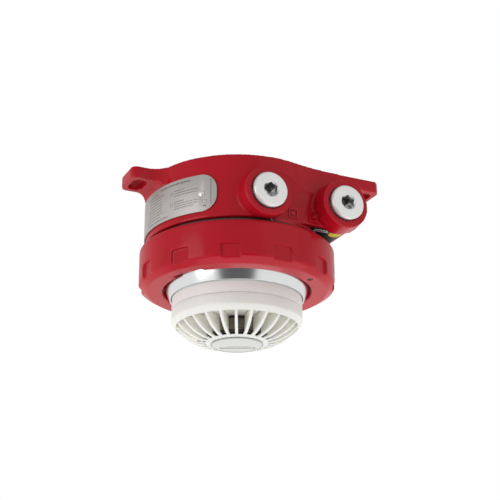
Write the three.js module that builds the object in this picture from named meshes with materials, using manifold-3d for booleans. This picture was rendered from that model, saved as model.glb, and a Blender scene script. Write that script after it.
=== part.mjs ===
// Flameproof ceiling heat detector: a cast red enclosure with mounting lugs and two plugged
// cable entries, a threaded cover ring, an aluminium carrier and a white plug-in sensing head.
//
// Millimetres. The origin is the centre of the mounting face, +Z points up into the ceiling,
// so the whole object hangs below z = 0. The cable entries face -Y.

import * as THREE from 'three';
import { mergeVertices } from 'three/addons/utils/BufferGeometryUtils.js';
import Module from 'manifold-3d';

const wasm = await Module();
wasm.setup();

// ---------------------------------------------------------------- driving dimensions

const GAP = 0.3;                    // clearance between pieces that rest on each other
const LARGE_SEGMENTS = 48;          // facets round the big turned parts
const SMALL_SEGMENTS = 12;          // facets round screws and rivets
const HOLE_SEGMENTS = 8;            // facets round screw holes
const PLUG_SEGMENTS = 24;           // facets round plugs, bosses and the parts in the middle

const body = {
  topR: 70, footR: 70.8, footZ: -49.2,
  backThickness: 7, cavityR: 61,
  neckR: 66.2, neckEndZ: -69.7,
};
const lug = {
  thickness: 9, reach: 92, halfWidth: 14, corner: 6,
  neckX: 79, rootX: 62, rootHalfWidth: 29, rootDepth: 14.9,
  slotX: 83, slotWidth: 11, slotLength: 19,
};
const plate = { frontY: -63.7, backY: -34, endX: 92.8, slotX: 83.5, slotY: -48.5 };
const rearLugAngle = 75;            // degrees from +X
const block = { frontY: -64, backY: -15, leftX: -20, rightX: 68, bottomZ: -46, edgeR: 8 };
const boss = {
  outerR: 18.7, faceY: -78, depth: 16,
  spotR: 14.2, spotDepth: 0.7, threadR: 12.6, threadDepth: 18, wayR: 10,
};
const entries = [                   // wayEndY is where the cable way opens into the cavity
  { side: 'left', x: -10.5, z: -31.7, wayEndY: -50 },
  { side: 'right', x: 53, z: -30.5, wayEndY: -25 },
];
const bossStep = { r: 19.6, faceY: -69.5 };       // collar behind the right boss
const wallFlat = { fromX: -4, toX: 62, topZ: -9, fullZ: -26, grooveR: 66.5 };

const ring = {
  topZ: -53.2, topR: 74.1, outerR: 75, skirtZ: -80.8, footR: 68.7, footZ: -84.3,
  boreR: 66.8, lipR: 56.8, lipZ: -78,
  pockets: 12, pocketPhase: 1.7, pocketWidth: 14.4, pocketTopZ: -71, pocketFootZ: -82.6, pocketFloorR: 73,
  notchAngles: [207.5, 27.5], notchSweep: 26, notchR: 60.4,
};
const sealRing = { centreR: 68.1, sectionR: 1.4, z: -51.2 };
const setScrew = { r: 2, length: 5, angle: 305, ringR: 62.2, hexAcross: 1.9 };

const plug = {
  flangeR: 13.3, flange: 3.1, chamfer: 0.8, shankR: 11.9, shankLength: 14,
  hexAcross: 10, hexDepth: 7.5,
};
const washer = { innerR: 12.2, outerR: 13.1, thickness: 1 };

const nameplate = { topZ: -15.3, height: 29, cornerR: 12, from: 138, to: 233.5, thickness: 0.8, innerR: 71 };
const rivet = {
  angles: [147.2, 224.3], z: -30.4,
  headR: 2.5, headHeight: 1.1, shankR: 1.3, shankLength: 4, holeR: 1.7,
};
const tag = { fromX: 34, toX: 60.5, fromY: -61.4, toY: -34, thickness: 0.5 };

const carrier = {
  flangeR: 65.6, flangeTopZ: -70, flangeFootZ: -77.6, wallR: 55.9, coneTopZ: -79.4,
  footR: 51.3, footZ: -90.3, recessR: 50.2, webTopZ: -80, webFootZ: -84, upperBoreR: 50, wireHoleR: 10,
};
const carrierScrew = {
  count: 3, phase: 90, ringR: 62.5,
  r: 1.4, length: 7, headR: 2.6, headHeight: 2.6, hexAcross: 2.2, holeR: 1.7,
};

const base = { outerR: 49.6, topZ: -84.3, floor: 3, footZ: -98.4, wall: 2.4, wireHoleR: 9 };
const baseScrew = {
  ringR: 30, angles: [90, 270],
  r: 1.9, headR: 3.6, headHeight: 2.2, holeR: 2.2, length: 5.6,
};
const contact = { count: 4, phase: 45, ringR: 38, length: 13, width: 5.4, thickness: 0.8, lift: 3.4 };
const terminalScrew = { ringR: 41.5, r: 1.6, headR: 2.7, headHeight: 1.6 };

const head = {
  wallR: 49.6, innerR: 47.4, topZ: -98.8, rimZ: -108,
  fins: 25, finPhase: 244.4, finThickness: 1.8, finInnerR: 27, finTopZ: -109.3, finFootR: 22.4,
  discR: 23.6, discTopZ: -123,
  // lower outline from the rim to the centre, as [radius, z]
  dome: [
    [49.6, -108], [47, -111.2], [43, -115.3], [38, -119],
    [32, -122], [26, -123.8], [18, -124.4], [0, -124.6],
  ],
};
const innerPlate = { r: 47, topZ: -104.2, rimZ: -106, trayR: 45.2, footZ: -109, thickness: 1.8 };
const screen = { r: 24.4, wall: 0.8, topZ: -109.3, footZ: -121.9 };
const chamber = {
  r: 19.5, topZ: -109.4, footZ: -119.4, plateThickness: 1.5,
  louvres: 12, louvreThickness: 1.6, coreR: 13,
};
const thermistor = {
  angles: [64.4, 107.6], ringR: 36.5, tipZ: -114.5,
  beadR: 1.3, leadR: 0.45, leadSpread: 0.65, holeR: 1.8,
};
const lightPipe = {
  r: 1.6, wall: 1.2, ringR: 29, angle: 165.2,
  footZ: -123.6, bossTopZ: -115.4, bossFootZ: -122.9,
};
const headBoard = { r: 44, topZ: -101.6, thickness: 1.6 };
const stud = { r: 2, length: 10 };
const collar = { innerR: 44.4, outerR: 46.6, topZ: -95, footZ: -103.6 };
const headLabel = { r: 19.6, thickness: 0.4, z: -124.95 };

const board = { r: 52, topZ: -27.3, thickness: 1.6 };
const standoff = { count: 3, phase: 30, ringR: 44, across: 7 };
const boardScrew = { r: 1.5, headR: 3, headHeight: 2.2, holeR: 1.8, threadLength: 5 };
const terminalBlock = {
  length: 44, depth: 12, height: 9, y: [-24, 24],
  ways: 4, wayR: 2.2, wireWay: 3.2, wireDepth: 5,
};
const earthScrew = {
  r: 2, headR: 4, headHeight: 2.6, innerLength: 5, outerLength: 7,
  washerR: 4.8, washer: 1.2,
};
const innerEarth = { x: -40, y: -18 };
const outerEarth = { angle: 118, z: -26, padR: 7.5, padReach: 4.4 };

// ---------------------------------------------------------------- solids and booleans

const radians = THREE.MathUtils.degToRad;

function polar(r, degrees) {
  return [r * Math.cos(radians(degrees)), r * Math.sin(radians(degrees))];
}

// Merge shared corners and drop the empty triangles that a turned shape has at its poles.
function welded(geometry) {
  const plain = geometry.index ? geometry.toNonIndexed() : geometry.clone();
  plain.deleteAttribute('normal');
  plain.deleteAttribute('uv');
  const merged = mergeVertices(plain, 1e-4);
  const index = merged.getIndex().array;
  const kept = [];
  for (let i = 0; i < index.length; i += 3) {
    const [a, b, c] = [index[i], index[i + 1], index[i + 2]];
    if (a !== b && b !== c && c !== a) kept.push(a, b, c);
  }
  merged.setIndex(kept);
  return merged;
}

function solid(geometry) {
  const clean = welded(geometry);
  return new wasm.Manifold(new wasm.Mesh({
    numProp: 3,
    vertProperties: new Float32Array(clean.getAttribute('position').array),
    triVerts: new Uint32Array(clean.getIndex().array),
  }));
}

function geometryOf(manifold) {
  const mesh3 = manifold.getMesh();
  const geometry = new THREE.BufferGeometry();
  geometry.setAttribute('position', new THREE.BufferAttribute(new Float32Array(mesh3.vertProperties), 3));
  geometry.setIndex(new THREE.BufferAttribute(new Uint32Array(mesh3.triVerts), 1));
  return geometry;
}

// A solid of revolution about Z from [radius, z] points, listed anticlockwise in the r-z plane
// or clockwise: the winding is put right here.
function turned(points, segments = LARGE_SEGMENTS) {
  let area = 0;
  points.forEach(([r, z], i) => {
    const [nextR, nextZ] = points[(i + 1) % points.length];
    area += r * nextZ - nextR * z;
  });
  const ordered = area > 0 ? points : [...points].reverse();
  const start = Math.max(0, ordered.findIndex(([r], i) => {
    const [previousR] = ordered[(i + ordered.length - 1) % ordered.length];
    return r === 0 && previousR === 0;
  }));
  const loop = [...ordered.slice(start), ...ordered.slice(0, start)];
  const onAxis = loop[0][0] === 0 && loop[loop.length - 1][0] === 0;
  if (!onAxis) loop.push(loop[0]);
  const geometry = new THREE.LatheGeometry(loop.map(([r, z]) => new THREE.Vector2(r, z)), segments);
  geometry.rotateX(Math.PI / 2);
  return solid(geometry);
}

function disc(r, topZ, footZ, segments = SMALL_SEGMENTS) {
  return turned([[0, topZ], [r, topZ], [r, footZ], [0, footZ]], segments);
}

function sheetDisc(r, topZ, thickness) {
  return disc(r, topZ, topZ - thickness, PLUG_SEGMENTS);
}

function tube(innerR, outerR, topZ, footZ, segments = LARGE_SEGMENTS) {
  return turned([[innerR, topZ], [outerR, topZ], [outerR, footZ], [innerR, footZ]], segments);
}

function box(from, to) {
  const size = to.map((high, axis) => Math.abs(high - from[axis]));
  const middle = to.map((high, axis) => (high + from[axis]) / 2);
  return solid(new THREE.BoxGeometry(...size).translate(...middle));
}

// A flat outline in the XY plane, extruded from footZ up to topZ.
function slab(shape, footZ, topZ, curveSegments = 6) {
  const options = { depth: topZ - footZ, bevelEnabled: false, curveSegments };
  const geometry = new THREE.ExtrudeGeometry(shape, options);
  geometry.translate(0, 0, footZ);
  return solid(geometry);
}

// Turn a solid made along Z so that its +Z end points along -Y, then place it.
function facingEntry(part, x, y, z) {
  return part.rotate([90, 0, 0]).translate([x, y, z]);
}

// A flat outline of [y, z] points, extruded along X.
function alongX(points, fromX, toX) {
  const shape = new THREE.Shape(points.map(([y, z]) => new THREE.Vector2(y, z)));
  return slab(shape, fromX, toX).rotate([90, 0, 90]);
}

function roundedRect(width, height, r, centreX = 0, centreY = 0) {
  const [x0, x1] = [centreX - width / 2, centreX + width / 2];
  const [y0, y1] = [centreY - height / 2, centreY + height / 2];
  const shape = new THREE.Shape();
  shape.moveTo(x0 + r, y0);
  shape.lineTo(x1 - r, y0);
  shape.absarc(x1 - r, y0 + r, r, -Math.PI / 2, 0);
  shape.lineTo(x1, y1 - r);
  shape.absarc(x1 - r, y1 - r, r, 0, Math.PI / 2);
  shape.lineTo(x0 + r, y1);
  shape.absarc(x0 + r, y1 - r, r, Math.PI / 2, Math.PI);
  shape.lineTo(x0, y0 + r);
  shape.absarc(x0 + r, y0 + r, r, Math.PI, 1.5 * Math.PI);
  return shape;
}

function hexagon(across) {
  const shape = new THREE.Shape();
  for (let i = 0; i < 6; i += 1) {
    const [x, y] = polar(across / Math.sqrt(3), 60 * i + 30);
    if (i === 0) shape.moveTo(x, y);
    else shape.lineTo(x, y);
  }
  shape.closePath();
  return shape;
}

// A cap screw with its head's underside at z = 0, its shank going up and its socket below.
function capScrew(shankR, length, headR, headHeight, across) {
  const blank = turned([
    [0, length], [shankR, length], [shankR, 0], [headR, 0],
    [headR, -headHeight + 0.4], [headR - 0.4, -headHeight], [0, -headHeight],
  ], SMALL_SEGMENTS);
  return blank.subtract(slab(hexagon(across), -headHeight - 1, -headHeight * 0.45));
}

// A round-headed screw with a straight driver slot.
function slottedScrew(shankR, length, headR, headHeight) {
  const blank = turned([
    [0, length], [shankR, length], [shankR, 0], [headR, 0],
    [headR, -headHeight * 0.55], [headR * 0.6, -headHeight], [0, -headHeight],
  ], SMALL_SEGMENTS);
  const slot = box([-headR - 1, -0.45, -headHeight - 1], [headR + 1, 0.45, -headHeight * 0.5]);
  return blank.subtract(slot);
}

// ---------------------------------------------------------------- enclosure casting

function lugOutline() {
  const { reach, halfWidth: w, corner: r, neckX, rootX, rootHalfWidth: rootW } = lug;
  const shape = new THREE.Shape();
  shape.moveTo(-rootX / 2, -rootW);
  shape.lineTo(-rootX, -rootW);
  shape.quadraticCurveTo(-rootX - 8, -w, -neckX, -w);
  shape.lineTo(-reach + r, -w);
  shape.quadraticCurveTo(-reach, -w, -reach, -w + r);
  shape.lineTo(-reach, w - r);
  shape.quadraticCurveTo(-reach, w, -reach + r, w);
  shape.lineTo(-neckX, w);
  shape.quadraticCurveTo(-rootX - 8, w, -rootX, rootW);
  shape.lineTo(-rootX / 2, rootW);
  shape.closePath();
  return shape;
}

// The lug seen from the side: level under the slot, then running down the wall at its root.
function lugSide() {
  const { thickness, reach, neckX, rootX, rootDepth } = lug;
  const shape = new THREE.Shape();
  shape.moveTo(-rootX / 2, 0);
  shape.lineTo(-reach - 1, 0);
  shape.lineTo(-reach - 1, -thickness);
  shape.lineTo(-neckX + 1, -thickness);
  shape.quadraticCurveTo(-body.topR - 2, -thickness - 1, -body.topR, -rootDepth);
  shape.lineTo(-rootX / 2, -rootDepth);
  shape.closePath();
  return shape;
}

function lugSlot(x, y) {
  const slotR = lug.slotWidth / 2 - 0.2;
  return slab(roundedRect(lug.slotWidth, lug.slotLength, slotR, x, y), -lug.thickness - 1, 1);
}

// A lug reaching out along -X, wider and deeper where it meets the wall.
function sideLug() {
  const { rootHalfWidth, rootDepth, slotX } = lug;
  const side = slab(lugSide(), -rootHalfWidth - 1, rootHalfWidth + 1).rotate([90, 0, 0]);
  return slab(lugOutline(), -rootDepth - 1, 0).intersect(side).subtract(lugSlot(-slotX, 0));
}

// The plate that carries the right-hand slot, flush with the front wall of the entry block.
function plateOutline() {
  const { frontY, backY, endX } = plate;
  const r = lug.corner;
  const shape = new THREE.Shape();
  shape.moveTo(20, frontY);
  shape.lineTo(endX - r, frontY);
  shape.quadraticCurveTo(endX, frontY, endX, frontY + r);
  shape.lineTo(endX, backY - r);
  shape.quadraticCurveTo(endX, backY, endX - r, backY);
  shape.lineTo(80, backY);
  shape.quadraticCurveTo(70, backY, 65, -24);
  shape.lineTo(40, -20);
  shape.closePath();
  return shape;
}

function entryBlock() {
  const { leftX, rightX, bottomZ, edgeR, frontY, backY } = block;
  const section = new THREE.Shape();
  section.moveTo(leftX, -1);
  section.lineTo(leftX, bottomZ);
  section.lineTo(rightX - edgeR, bottomZ);
  section.absarc(rightX - edgeR, bottomZ + edgeR, edgeR, -Math.PI / 2, 0);
  section.lineTo(rightX, -1);
  section.closePath();
  return slab(section, -backY, -frontY).rotate([90, 0, 0]);
}

// What the round wall loses between the entries, where it runs down into the block's flat front,
// and the groove under that flat.
function frontRelief() {
  const { fromX, toX, topZ, fullZ, grooveR } = wallFlat;
  const outerY = -body.footR - 10;
  const flat = alongX([
    [outerY, topZ], [-body.footR - GAP, topZ], [block.frontY, fullZ],
    [block.frontY, body.footZ - 1], [outerY, body.footZ - 1],
  ], fromX, toX);
  const groove = tube(grooveR, body.footR + 10, block.bottomZ, body.footZ - 1);
  return flat.add(groove.intersect(box([fromX, outerY, body.footZ - 1], [block.rightX, block.backY, 0])));
}

// A boss with nothing below the wall's foot, where the cover's seal lies. The right boss has a
// collar behind it, cut off level with the underside of the block.
function entryBoss({ side, x, z }) {
  const { outerR, faceY, depth } = boss;
  const sealSpace = disc(body.footR + GAP, body.footZ, body.neckEndZ, LARGE_SEGMENTS);
  const front = facingEntry(disc(outerR, depth, 0, PLUG_SEGMENTS), x, faceY + depth, z).subtract(sealSpace);
  if (side === 'left') return front;
  const collarDepth = faceY + depth - bossStep.faceY;
  const collar = facingEntry(disc(bossStep.r, collarDepth, 0, PLUG_SEGMENTS), x, faceY + depth, z);
  const below = box([x - 30, bossStep.faceY, body.neckEndZ], [x + 30, 0, block.bottomZ]);
  return front.add(collar).subtract(below);
}

function enclosureBody() {
  const { topR, footR, footZ, neckR, neckEndZ, cavityR, backThickness } = body;
  let casting = turned([
    [0, 0], [topR, 0], [footR, footZ], [neckR, footZ], [neckR, neckEndZ], [0, neckEndZ],
  ]);
  casting = casting.add(entryBlock()).subtract(frontRelief()).add(sideLug());
  casting = casting.add(sideLug().rotate([0, 0, rearLugAngle - 180]));
  casting = casting.add(slab(plateOutline(), -lug.thickness, 0).subtract(lugSlot(plate.slotX, plate.slotY)));
  entries.forEach((entry) => {
    casting = casting.add(entryBoss(entry));
  });
  const [padX, padY] = polar(footR - 4, outerEarth.angle);
  const pad = disc(outerEarth.padR, 4 + outerEarth.padReach, 0, PLUG_SEGMENTS).rotate([0, 90, 0]);
  casting = casting.add(pad.rotate([0, 0, outerEarth.angle]).translate([padX, padY, outerEarth.z]));

  casting = casting.subtract(disc(cavityR, -backThickness, neckEndZ - 1, LARGE_SEGMENTS));
  entries.forEach(({ x, z, wayEndY }) => {
    const spotFace = disc(boss.spotR, 1, -boss.spotDepth, PLUG_SEGMENTS);
    const threadWay = disc(boss.threadR, 1, -boss.threadDepth, PLUG_SEGMENTS);
    const innerWay = disc(boss.wayR, 0, boss.faceY - wayEndY, SMALL_SEGMENTS);
    casting = casting.subtract(facingEntry(spotFace.add(threadWay).add(innerWay), x, boss.faceY, z));
  });
  const rivetHole = disc(rivet.holeR, 6, -8, HOLE_SEGMENTS).rotate([0, 90, 0]);
  rivet.angles.forEach((angle) => {
    const [x, y] = polar(footR, angle);
    casting = casting.subtract(rivetHole.rotate([0, 0, angle]).translate([x, y, rivet.z]));
  });
  const tapped = disc(carrierScrew.holeR, neckEndZ + 7, neckEndZ - 1, HOLE_SEGMENTS);
  eachCarrierScrew((x, y) => {
    casting = casting.subtract(tapped.translate([x, y, 0]));
  });
  const outerHole = disc(earthScrew.r + GAP, 30, -9, HOLE_SEGMENTS).rotate([0, 90, outerEarth.angle]);
  casting = casting.subtract(outerHole.translate([padX, padY, outerEarth.z]));
  const innerHole = disc(earthScrew.r + GAP, 5 - backThickness, -backThickness - 1, HOLE_SEGMENTS);
  return casting.subtract(innerHole.translate([innerEarth.x, innerEarth.y, 0]));
}

// ---------------------------------------------------------------- cover ring and its seal

function coverRing() {
  const r = ring;
  let part = turned([
    [r.boreR, r.topZ], [r.topR, r.topZ], [r.outerR, r.topZ - 0.9], [r.outerR, r.skirtZ],
    [r.footR, r.footZ], [r.lipR, r.footZ], [r.lipR, r.lipZ], [r.boreR, r.lipZ],
  ]);
  for (let i = 0; i < r.pockets; i += 1) {
    const half = r.pocketWidth / 2;
    const pocket = box([r.pocketFloorR, -half, r.pocketFootZ], [r.outerR + 5, half, r.pocketTopZ]);
    part = part.subtract(pocket.rotate([0, 0, (360 / r.pockets) * i + r.pocketPhase]));
  }
  r.notchAngles.forEach((middle) => {
    const notch = new THREE.Shape();
    const [from, to] = [radians(middle - r.notchSweep / 2), radians(middle + r.notchSweep / 2)];
    notch.absarc(0, 0, r.notchR, from, to);
    notch.absarc(0, 0, r.lipR - 3, to, from, true);
    part = part.subtract(slab(notch, r.footZ - 1, r.lipZ + 1, 10));
  });
  const [x, y] = polar(setScrew.ringR, setScrew.angle);
  return part.subtract(disc(setScrew.r + GAP, r.lipZ + 1, r.footZ - 1, SMALL_SEGMENTS).translate([x, y, 0]));
}

function coverSeal() {
  const { centreR, sectionR, z } = sealRing;
  const section = [];
  for (let i = 0; i < 6; i += 1) {
    const [r, up] = polar(sectionR, 60 * i);
    section.push([centreR + r, z + up]);
  }
  return turned(section);
}

function coverSetScrew() {
  const [x, y] = polar(setScrew.ringR, setScrew.angle);
  const screw = disc(setScrew.r, ring.footZ + setScrew.length, ring.footZ, SMALL_SEGMENTS);
  const socket = slab(hexagon(setScrew.hexAcross), ring.footZ - 1, ring.footZ + 2);
  return screw.subtract(socket).translate([x, y, 0]);
}

// ---------------------------------------------------------------- plugs, plate and tag

function stoppingPlug({ x, z }) {
  const { flangeR, flange, chamfer, shankR, shankLength, hexAcross, hexDepth } = plug;
  const blank = turned([
    [0, flange], [flangeR - chamfer, flange], [flangeR, flange - chamfer], [flangeR, 0],
    [shankR, 0], [shankR, 1 - shankLength], [shankR - 1, -shankLength], [0, -shankLength],
  ], PLUG_SEGMENTS);
  const part = blank.subtract(slab(hexagon(hexAcross), flange - hexDepth, flange + 1));
  return facingEntry(part, x, boss.faceY + boss.spotDepth - washer.thickness - 2 * GAP, z);
}

function plugWasher({ x, z }) {
  const part = tube(washer.innerR, washer.outerR, washer.thickness, 0, PLUG_SEGMENTS);
  return facingEntry(part, x, boss.faceY + boss.spotDepth - GAP, z);
}

// A flat strip with round ends, bent round the wall: at each station along its length the
// strip's height follows the corner radius.
function curvedNameplate() {
  const { topZ, height, cornerR, from, to, thickness, innerR } = nameplate;
  const length = innerR * radians(to - from);
  const steps = 32;
  const geometry = new THREE.BoxGeometry(length, height, thickness, steps, 1, 1);
  const position = geometry.getAttribute('position');
  const endStation = length / 2 - 0.4;
  for (let i = 0; i < position.count; i += 1) {
    const along = THREE.MathUtils.clamp(position.getX(i), -endStation, endStation);
    const fromEnd = length / 2 - Math.abs(along);
    const inset = Math.max(0, cornerR - fromEnd);
    const halfHeight = height / 2 - cornerR + Math.sqrt(cornerR ** 2 - inset ** 2);
    const angle = (from + to) / 2 + along / radians(innerR);
    const [x, y] = polar(innerR + thickness / 2 + position.getZ(i), angle);
    position.setXYZ(i, x, y, topZ - height / 2 + Math.sign(position.getY(i)) * halfHeight);
  }
  let part = solid(geometry);
  const hole = disc(rivet.holeR, 6, -8, HOLE_SEGMENTS).rotate([0, 90, 0]);
  rivet.angles.forEach((angle) => {
    const [x, y] = polar(innerR, angle);
    part = part.subtract(hole.rotate([0, 0, angle]).translate([x, y, rivet.z]));
  });
  return part;
}

function nameplateRivet(angle) {
  const { headR, headHeight, shankR, shankLength, z } = rivet;
  const part = turned([
    [0, headHeight], [headR * 0.55, headHeight * 0.85], [headR, 0],
    [shankR, 0], [shankR, -shankLength], [0, -shankLength],
  ], SMALL_SEGMENTS);
  const [x, y] = polar(nameplate.innerR + nameplate.thickness + GAP, angle);
  return part.rotate([0, 90, 0]).rotate([0, 0, angle]).translate([x, y, z]);
}

function undersideTag() {
  const { fromX, toX, fromY, toY, thickness } = tag;
  const outline = roundedRect(toX - fromX, toY - fromY, 1.5, (fromX + toX) / 2, (fromY + toY) / 2);
  const topZ = block.bottomZ - GAP;
  const sheet = slab(outline, topZ - thickness, topZ, 3);
  return sheet.subtract(disc(wallFlat.grooveR + GAP, topZ + 1, topZ - 3, LARGE_SEGMENTS));
}

// ---------------------------------------------------------------- carrier and detector base

function eachCarrierScrew(place) {
  for (let i = 0; i < carrierScrew.count; i += 1) {
    const [x, y] = polar(carrierScrew.ringR, carrierScrew.phase + (360 / carrierScrew.count) * i);
    place(x, y, i);
  }
}

function carrierRing() {
  const c = carrier;
  let part = turned([
    [c.upperBoreR, c.flangeTopZ], [c.flangeR, c.flangeTopZ],
    [c.flangeR, c.flangeFootZ], [c.wallR, c.flangeFootZ], [c.wallR, c.coneTopZ],
    [c.footR, c.footZ], [c.recessR, c.footZ], [c.recessR, c.webFootZ],
    [c.wireHoleR, c.webFootZ], [c.wireHoleR, c.webTopZ], [c.upperBoreR, c.webTopZ],
  ]);
  eachCarrierScrew((x, y) => {
    const hole = disc(carrierScrew.holeR, c.flangeTopZ + 1, c.flangeFootZ - 1, HOLE_SEGMENTS);
    const seatTopZ = c.flangeFootZ + carrierScrew.headHeight + GAP;
    const seat = disc(carrierScrew.headR + GAP, seatTopZ, c.flangeFootZ - 1, SMALL_SEGMENTS);
    part = part.subtract(hole.add(seat).translate([x, y, 0]));
  });
  baseScrew.angles.forEach((angle) => {
    const [x, y] = polar(baseScrew.ringR, angle);
    const hole = disc(baseScrew.holeR, c.webTopZ + 1, c.webFootZ - 1, HOLE_SEGMENTS);
    part = part.subtract(hole.translate([x, y, 0]));
  });
  return part;
}

function detectorBase() {
  const { outerR, topZ, floor, footZ, wall, wireHoleR } = base;
  let part = turned([
    [wireHoleR, topZ], [outerR, topZ], [outerR, footZ], [outerR - wall, footZ],
    [outerR - wall, topZ - floor], [wireHoleR, topZ - floor],
  ]);
  baseScrew.angles.forEach((angle) => {
    const [x, y] = polar(baseScrew.ringR, angle);
    const hole = disc(baseScrew.holeR, topZ + 1, topZ - floor - 1, HOLE_SEGMENTS);
    part = part.subtract(hole.translate([x, y, 0]));
  });
  return part;
}

const baseFloorZ = base.topZ - base.floor;

function atContact(i, r) {
  return polar(r, contact.phase + (360 / contact.count) * i);
}

// A spring leaf: a flat foot under the terminal screw, and a tongue bent down towards the head.
function springContact(i) {
  const { thickness, length, width, lift, ringR, phase, count } = contact;
  const leaf = new THREE.Shape();
  leaf.moveTo(5, 0);
  leaf.lineTo(5, -thickness);
  leaf.lineTo(-1, -thickness);
  leaf.lineTo(5 - length, -lift);
  leaf.lineTo(5 - length, thickness - lift);
  leaf.lineTo(-1, 0);
  leaf.closePath();
  const part = slab(leaf, -width / 2, width / 2).rotate([90, 0, 0]);
  const hole = disc(terminalScrew.r + GAP, 1, -3, HOLE_SEGMENTS);
  const drilled = part.subtract(hole.translate([terminalScrew.ringR - ringR, 0, 0]));
  const angle = phase + (360 / count) * i;
  const [x, y] = atContact(i, ringR);
  return drilled.rotate([0, 0, angle]).translate([x, y, baseFloorZ - GAP]);
}

function contactScrew(i) {
  const { r, headR, headHeight, ringR } = terminalScrew;
  const [x, y] = atContact(i, ringR);
  const z = baseFloorZ - contact.thickness - 2 * GAP;
  const screw = slottedScrew(r, contact.thickness + GAP, headR, headHeight);
  return screw.rotate([0, 0, 30 * i]).translate([x, y, z]);
}

function baseFixingScrew(angle) {
  const { ringR, r, length, headR, headHeight } = baseScrew;
  const [x, y] = polar(ringR, angle);
  return slottedScrew(r, length, headR, headHeight).translate([x, y, baseFloorZ - GAP]);
}

// ---------------------------------------------------------------- plug-in head

function headFin() {
  const h = head;
  const finOutline = new THREE.Shape();
  finOutline.moveTo(h.finInnerR, h.finTopZ);
  finOutline.lineTo(h.innerR + 0.6, h.finTopZ);
  finOutline.lineTo(h.innerR + 0.6, h.finTopZ - 0.5);
  h.dome.slice(1, 6).forEach(([r, z]) => finOutline.lineTo(r - 0.2, z + 0.1));
  finOutline.lineTo(h.finFootR, h.discTopZ - 0.9);
  finOutline.lineTo(h.finFootR, h.discTopZ + 0.1);
  finOutline.lineTo(h.finInnerR, h.discTopZ + 1.6);
  finOutline.closePath();
  return slab(finOutline, -h.finThickness / 2, h.finThickness / 2).rotate([90, 0, 0]);
}

function headShell() {
  const h = head;
  const wall = tube(h.innerR, h.wallR, h.topZ, h.rimZ);
  const lip = turned([[46.4, -107.4], [h.wallR, -106.4], ...h.dome.slice(0, 2), [45.8, -110.6]]);
  const face = turned([[0, h.discTopZ], [h.discR, h.discTopZ], [h.discR, -123.9], ...h.dome.slice(6)]);
  const fin = headFin();
  let part = wall.add(lip).add(face);
  for (let i = 0; i < h.fins; i += 1) {
    part = part.add(fin.rotate([0, 0, h.finPhase + (360 / h.fins) * i]));
  }
  const [x, y] = polar(lightPipe.ringR, lightPipe.angle);
  const pipeBoss = disc(lightPipe.r + lightPipe.wall, lightPipe.bossTopZ, lightPipe.bossFootZ);
  const pipeHole = disc(lightPipe.r + GAP, h.finTopZ + 1, lightPipe.bossFootZ - 3);
  return part.add(pipeBoss.translate([x, y, 0])).subtract(pipeHole.translate([x, y, 0]));
}

function headInnerPlate() {
  const { r, topZ, rimZ, trayR, footZ, thickness } = innerPlate;
  const innerR = trayR - thickness;
  let part = turned([
    [0, footZ + thickness], [innerR, footZ + thickness], [innerR, topZ],
    [r, topZ], [r, rimZ], [trayR, rimZ], [trayR, footZ], [0, footZ],
  ]);
  const hole = (holeR) => disc(holeR, topZ + 1, footZ - 1, HOLE_SEGMENTS);
  thermistor.angles.forEach((angle) => {
    const [x, y] = polar(thermistor.ringR, angle);
    part = part.subtract(hole(thermistor.holeR).translate([x, y, 0]));
  });
  const [x, y] = polar(lightPipe.ringR, lightPipe.angle);
  return part.subtract(hole(lightPipe.r + GAP).translate([x, y, 0]));
}

function insectScreen() {
  return tube(screen.r - screen.wall, screen.r, screen.topZ, screen.footZ, PLUG_SEGMENTS);
}

// Labyrinth inside the screen: a core with louvres standing round it between two plates.
function sensingChamber() {
  const { r, topZ, footZ, louvres, louvreThickness, plateThickness, coreR } = chamber;
  const lid = disc(r, topZ, topZ - plateThickness, PLUG_SEGMENTS);
  const floor = disc(r, footZ + plateThickness, footZ, PLUG_SEGMENTS);
  let part = disc(coreR, topZ, footZ).add(lid).add(floor);
  const half = louvreThickness / 2;
  const louvre = box([coreR - 1.5, -half, footZ + 0.5], [r - 0.4, half, topZ - 0.5]);
  for (let i = 0; i < louvres; i += 1) {
    part = part.add(louvre.rotate([0, 0, (360 / louvres) * i]));
  }
  return part;
}

// Glass bead on two leads that come down from the board into the airflow between two fins.
function thermistorBead(angle) {
  const { ringR, tipZ, beadR, leadR, leadSpread } = thermistor;
  const leadTopZ = headBoard.topZ - headBoard.thickness - GAP;
  const bead = turned([
    [0, tipZ + beadR * 2.6], [beadR * 0.7, tipZ + beadR * 2.2], [beadR, tipZ + beadR * 1.3],
    [beadR * 0.75, tipZ + beadR * 0.3], [0, tipZ],
  ], HOLE_SEGMENTS);
  const lead = disc(leadR, leadTopZ, tipZ + beadR, 6);
  const [x, y] = polar(ringR, angle);
  const pair = lead.translate([-leadSpread, 0, 0]).add(lead.translate([leadSpread, 0, 0]));
  return bead.add(pair).rotate([0, 0, angle]).translate([x, y, 0]);
}

function ledLightPipe() {
  const [x, y] = polar(lightPipe.ringR, lightPipe.angle);
  const top = headBoard.topZ - headBoard.thickness - GAP;
  return disc(lightPipe.r, top, lightPipe.footZ).translate([x, y, 0]);
}

function contactStud(i) {
  const [x, y] = atContact(i, contact.ringR - 6);
  return disc(stud.r, headBoard.topZ + GAP + stud.length, headBoard.topZ + GAP).translate([x, y, 0]);
}

// ---------------------------------------------------------------- inside the enclosure

function atStandoff(i) {
  return polar(standoff.ringR, standoff.phase + (360 / standoff.count) * i);
}

function boardStandoff(i) {
  const top = -body.backThickness - GAP;
  const post = slab(hexagon(standoff.across), board.topZ + GAP, top);
  const hole = disc(boardScrew.holeR, board.topZ + 7, board.topZ - 1, HOLE_SEGMENTS);
  const [x, y] = atStandoff(i);
  return post.subtract(hole).translate([x, y, 0]);
}

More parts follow.
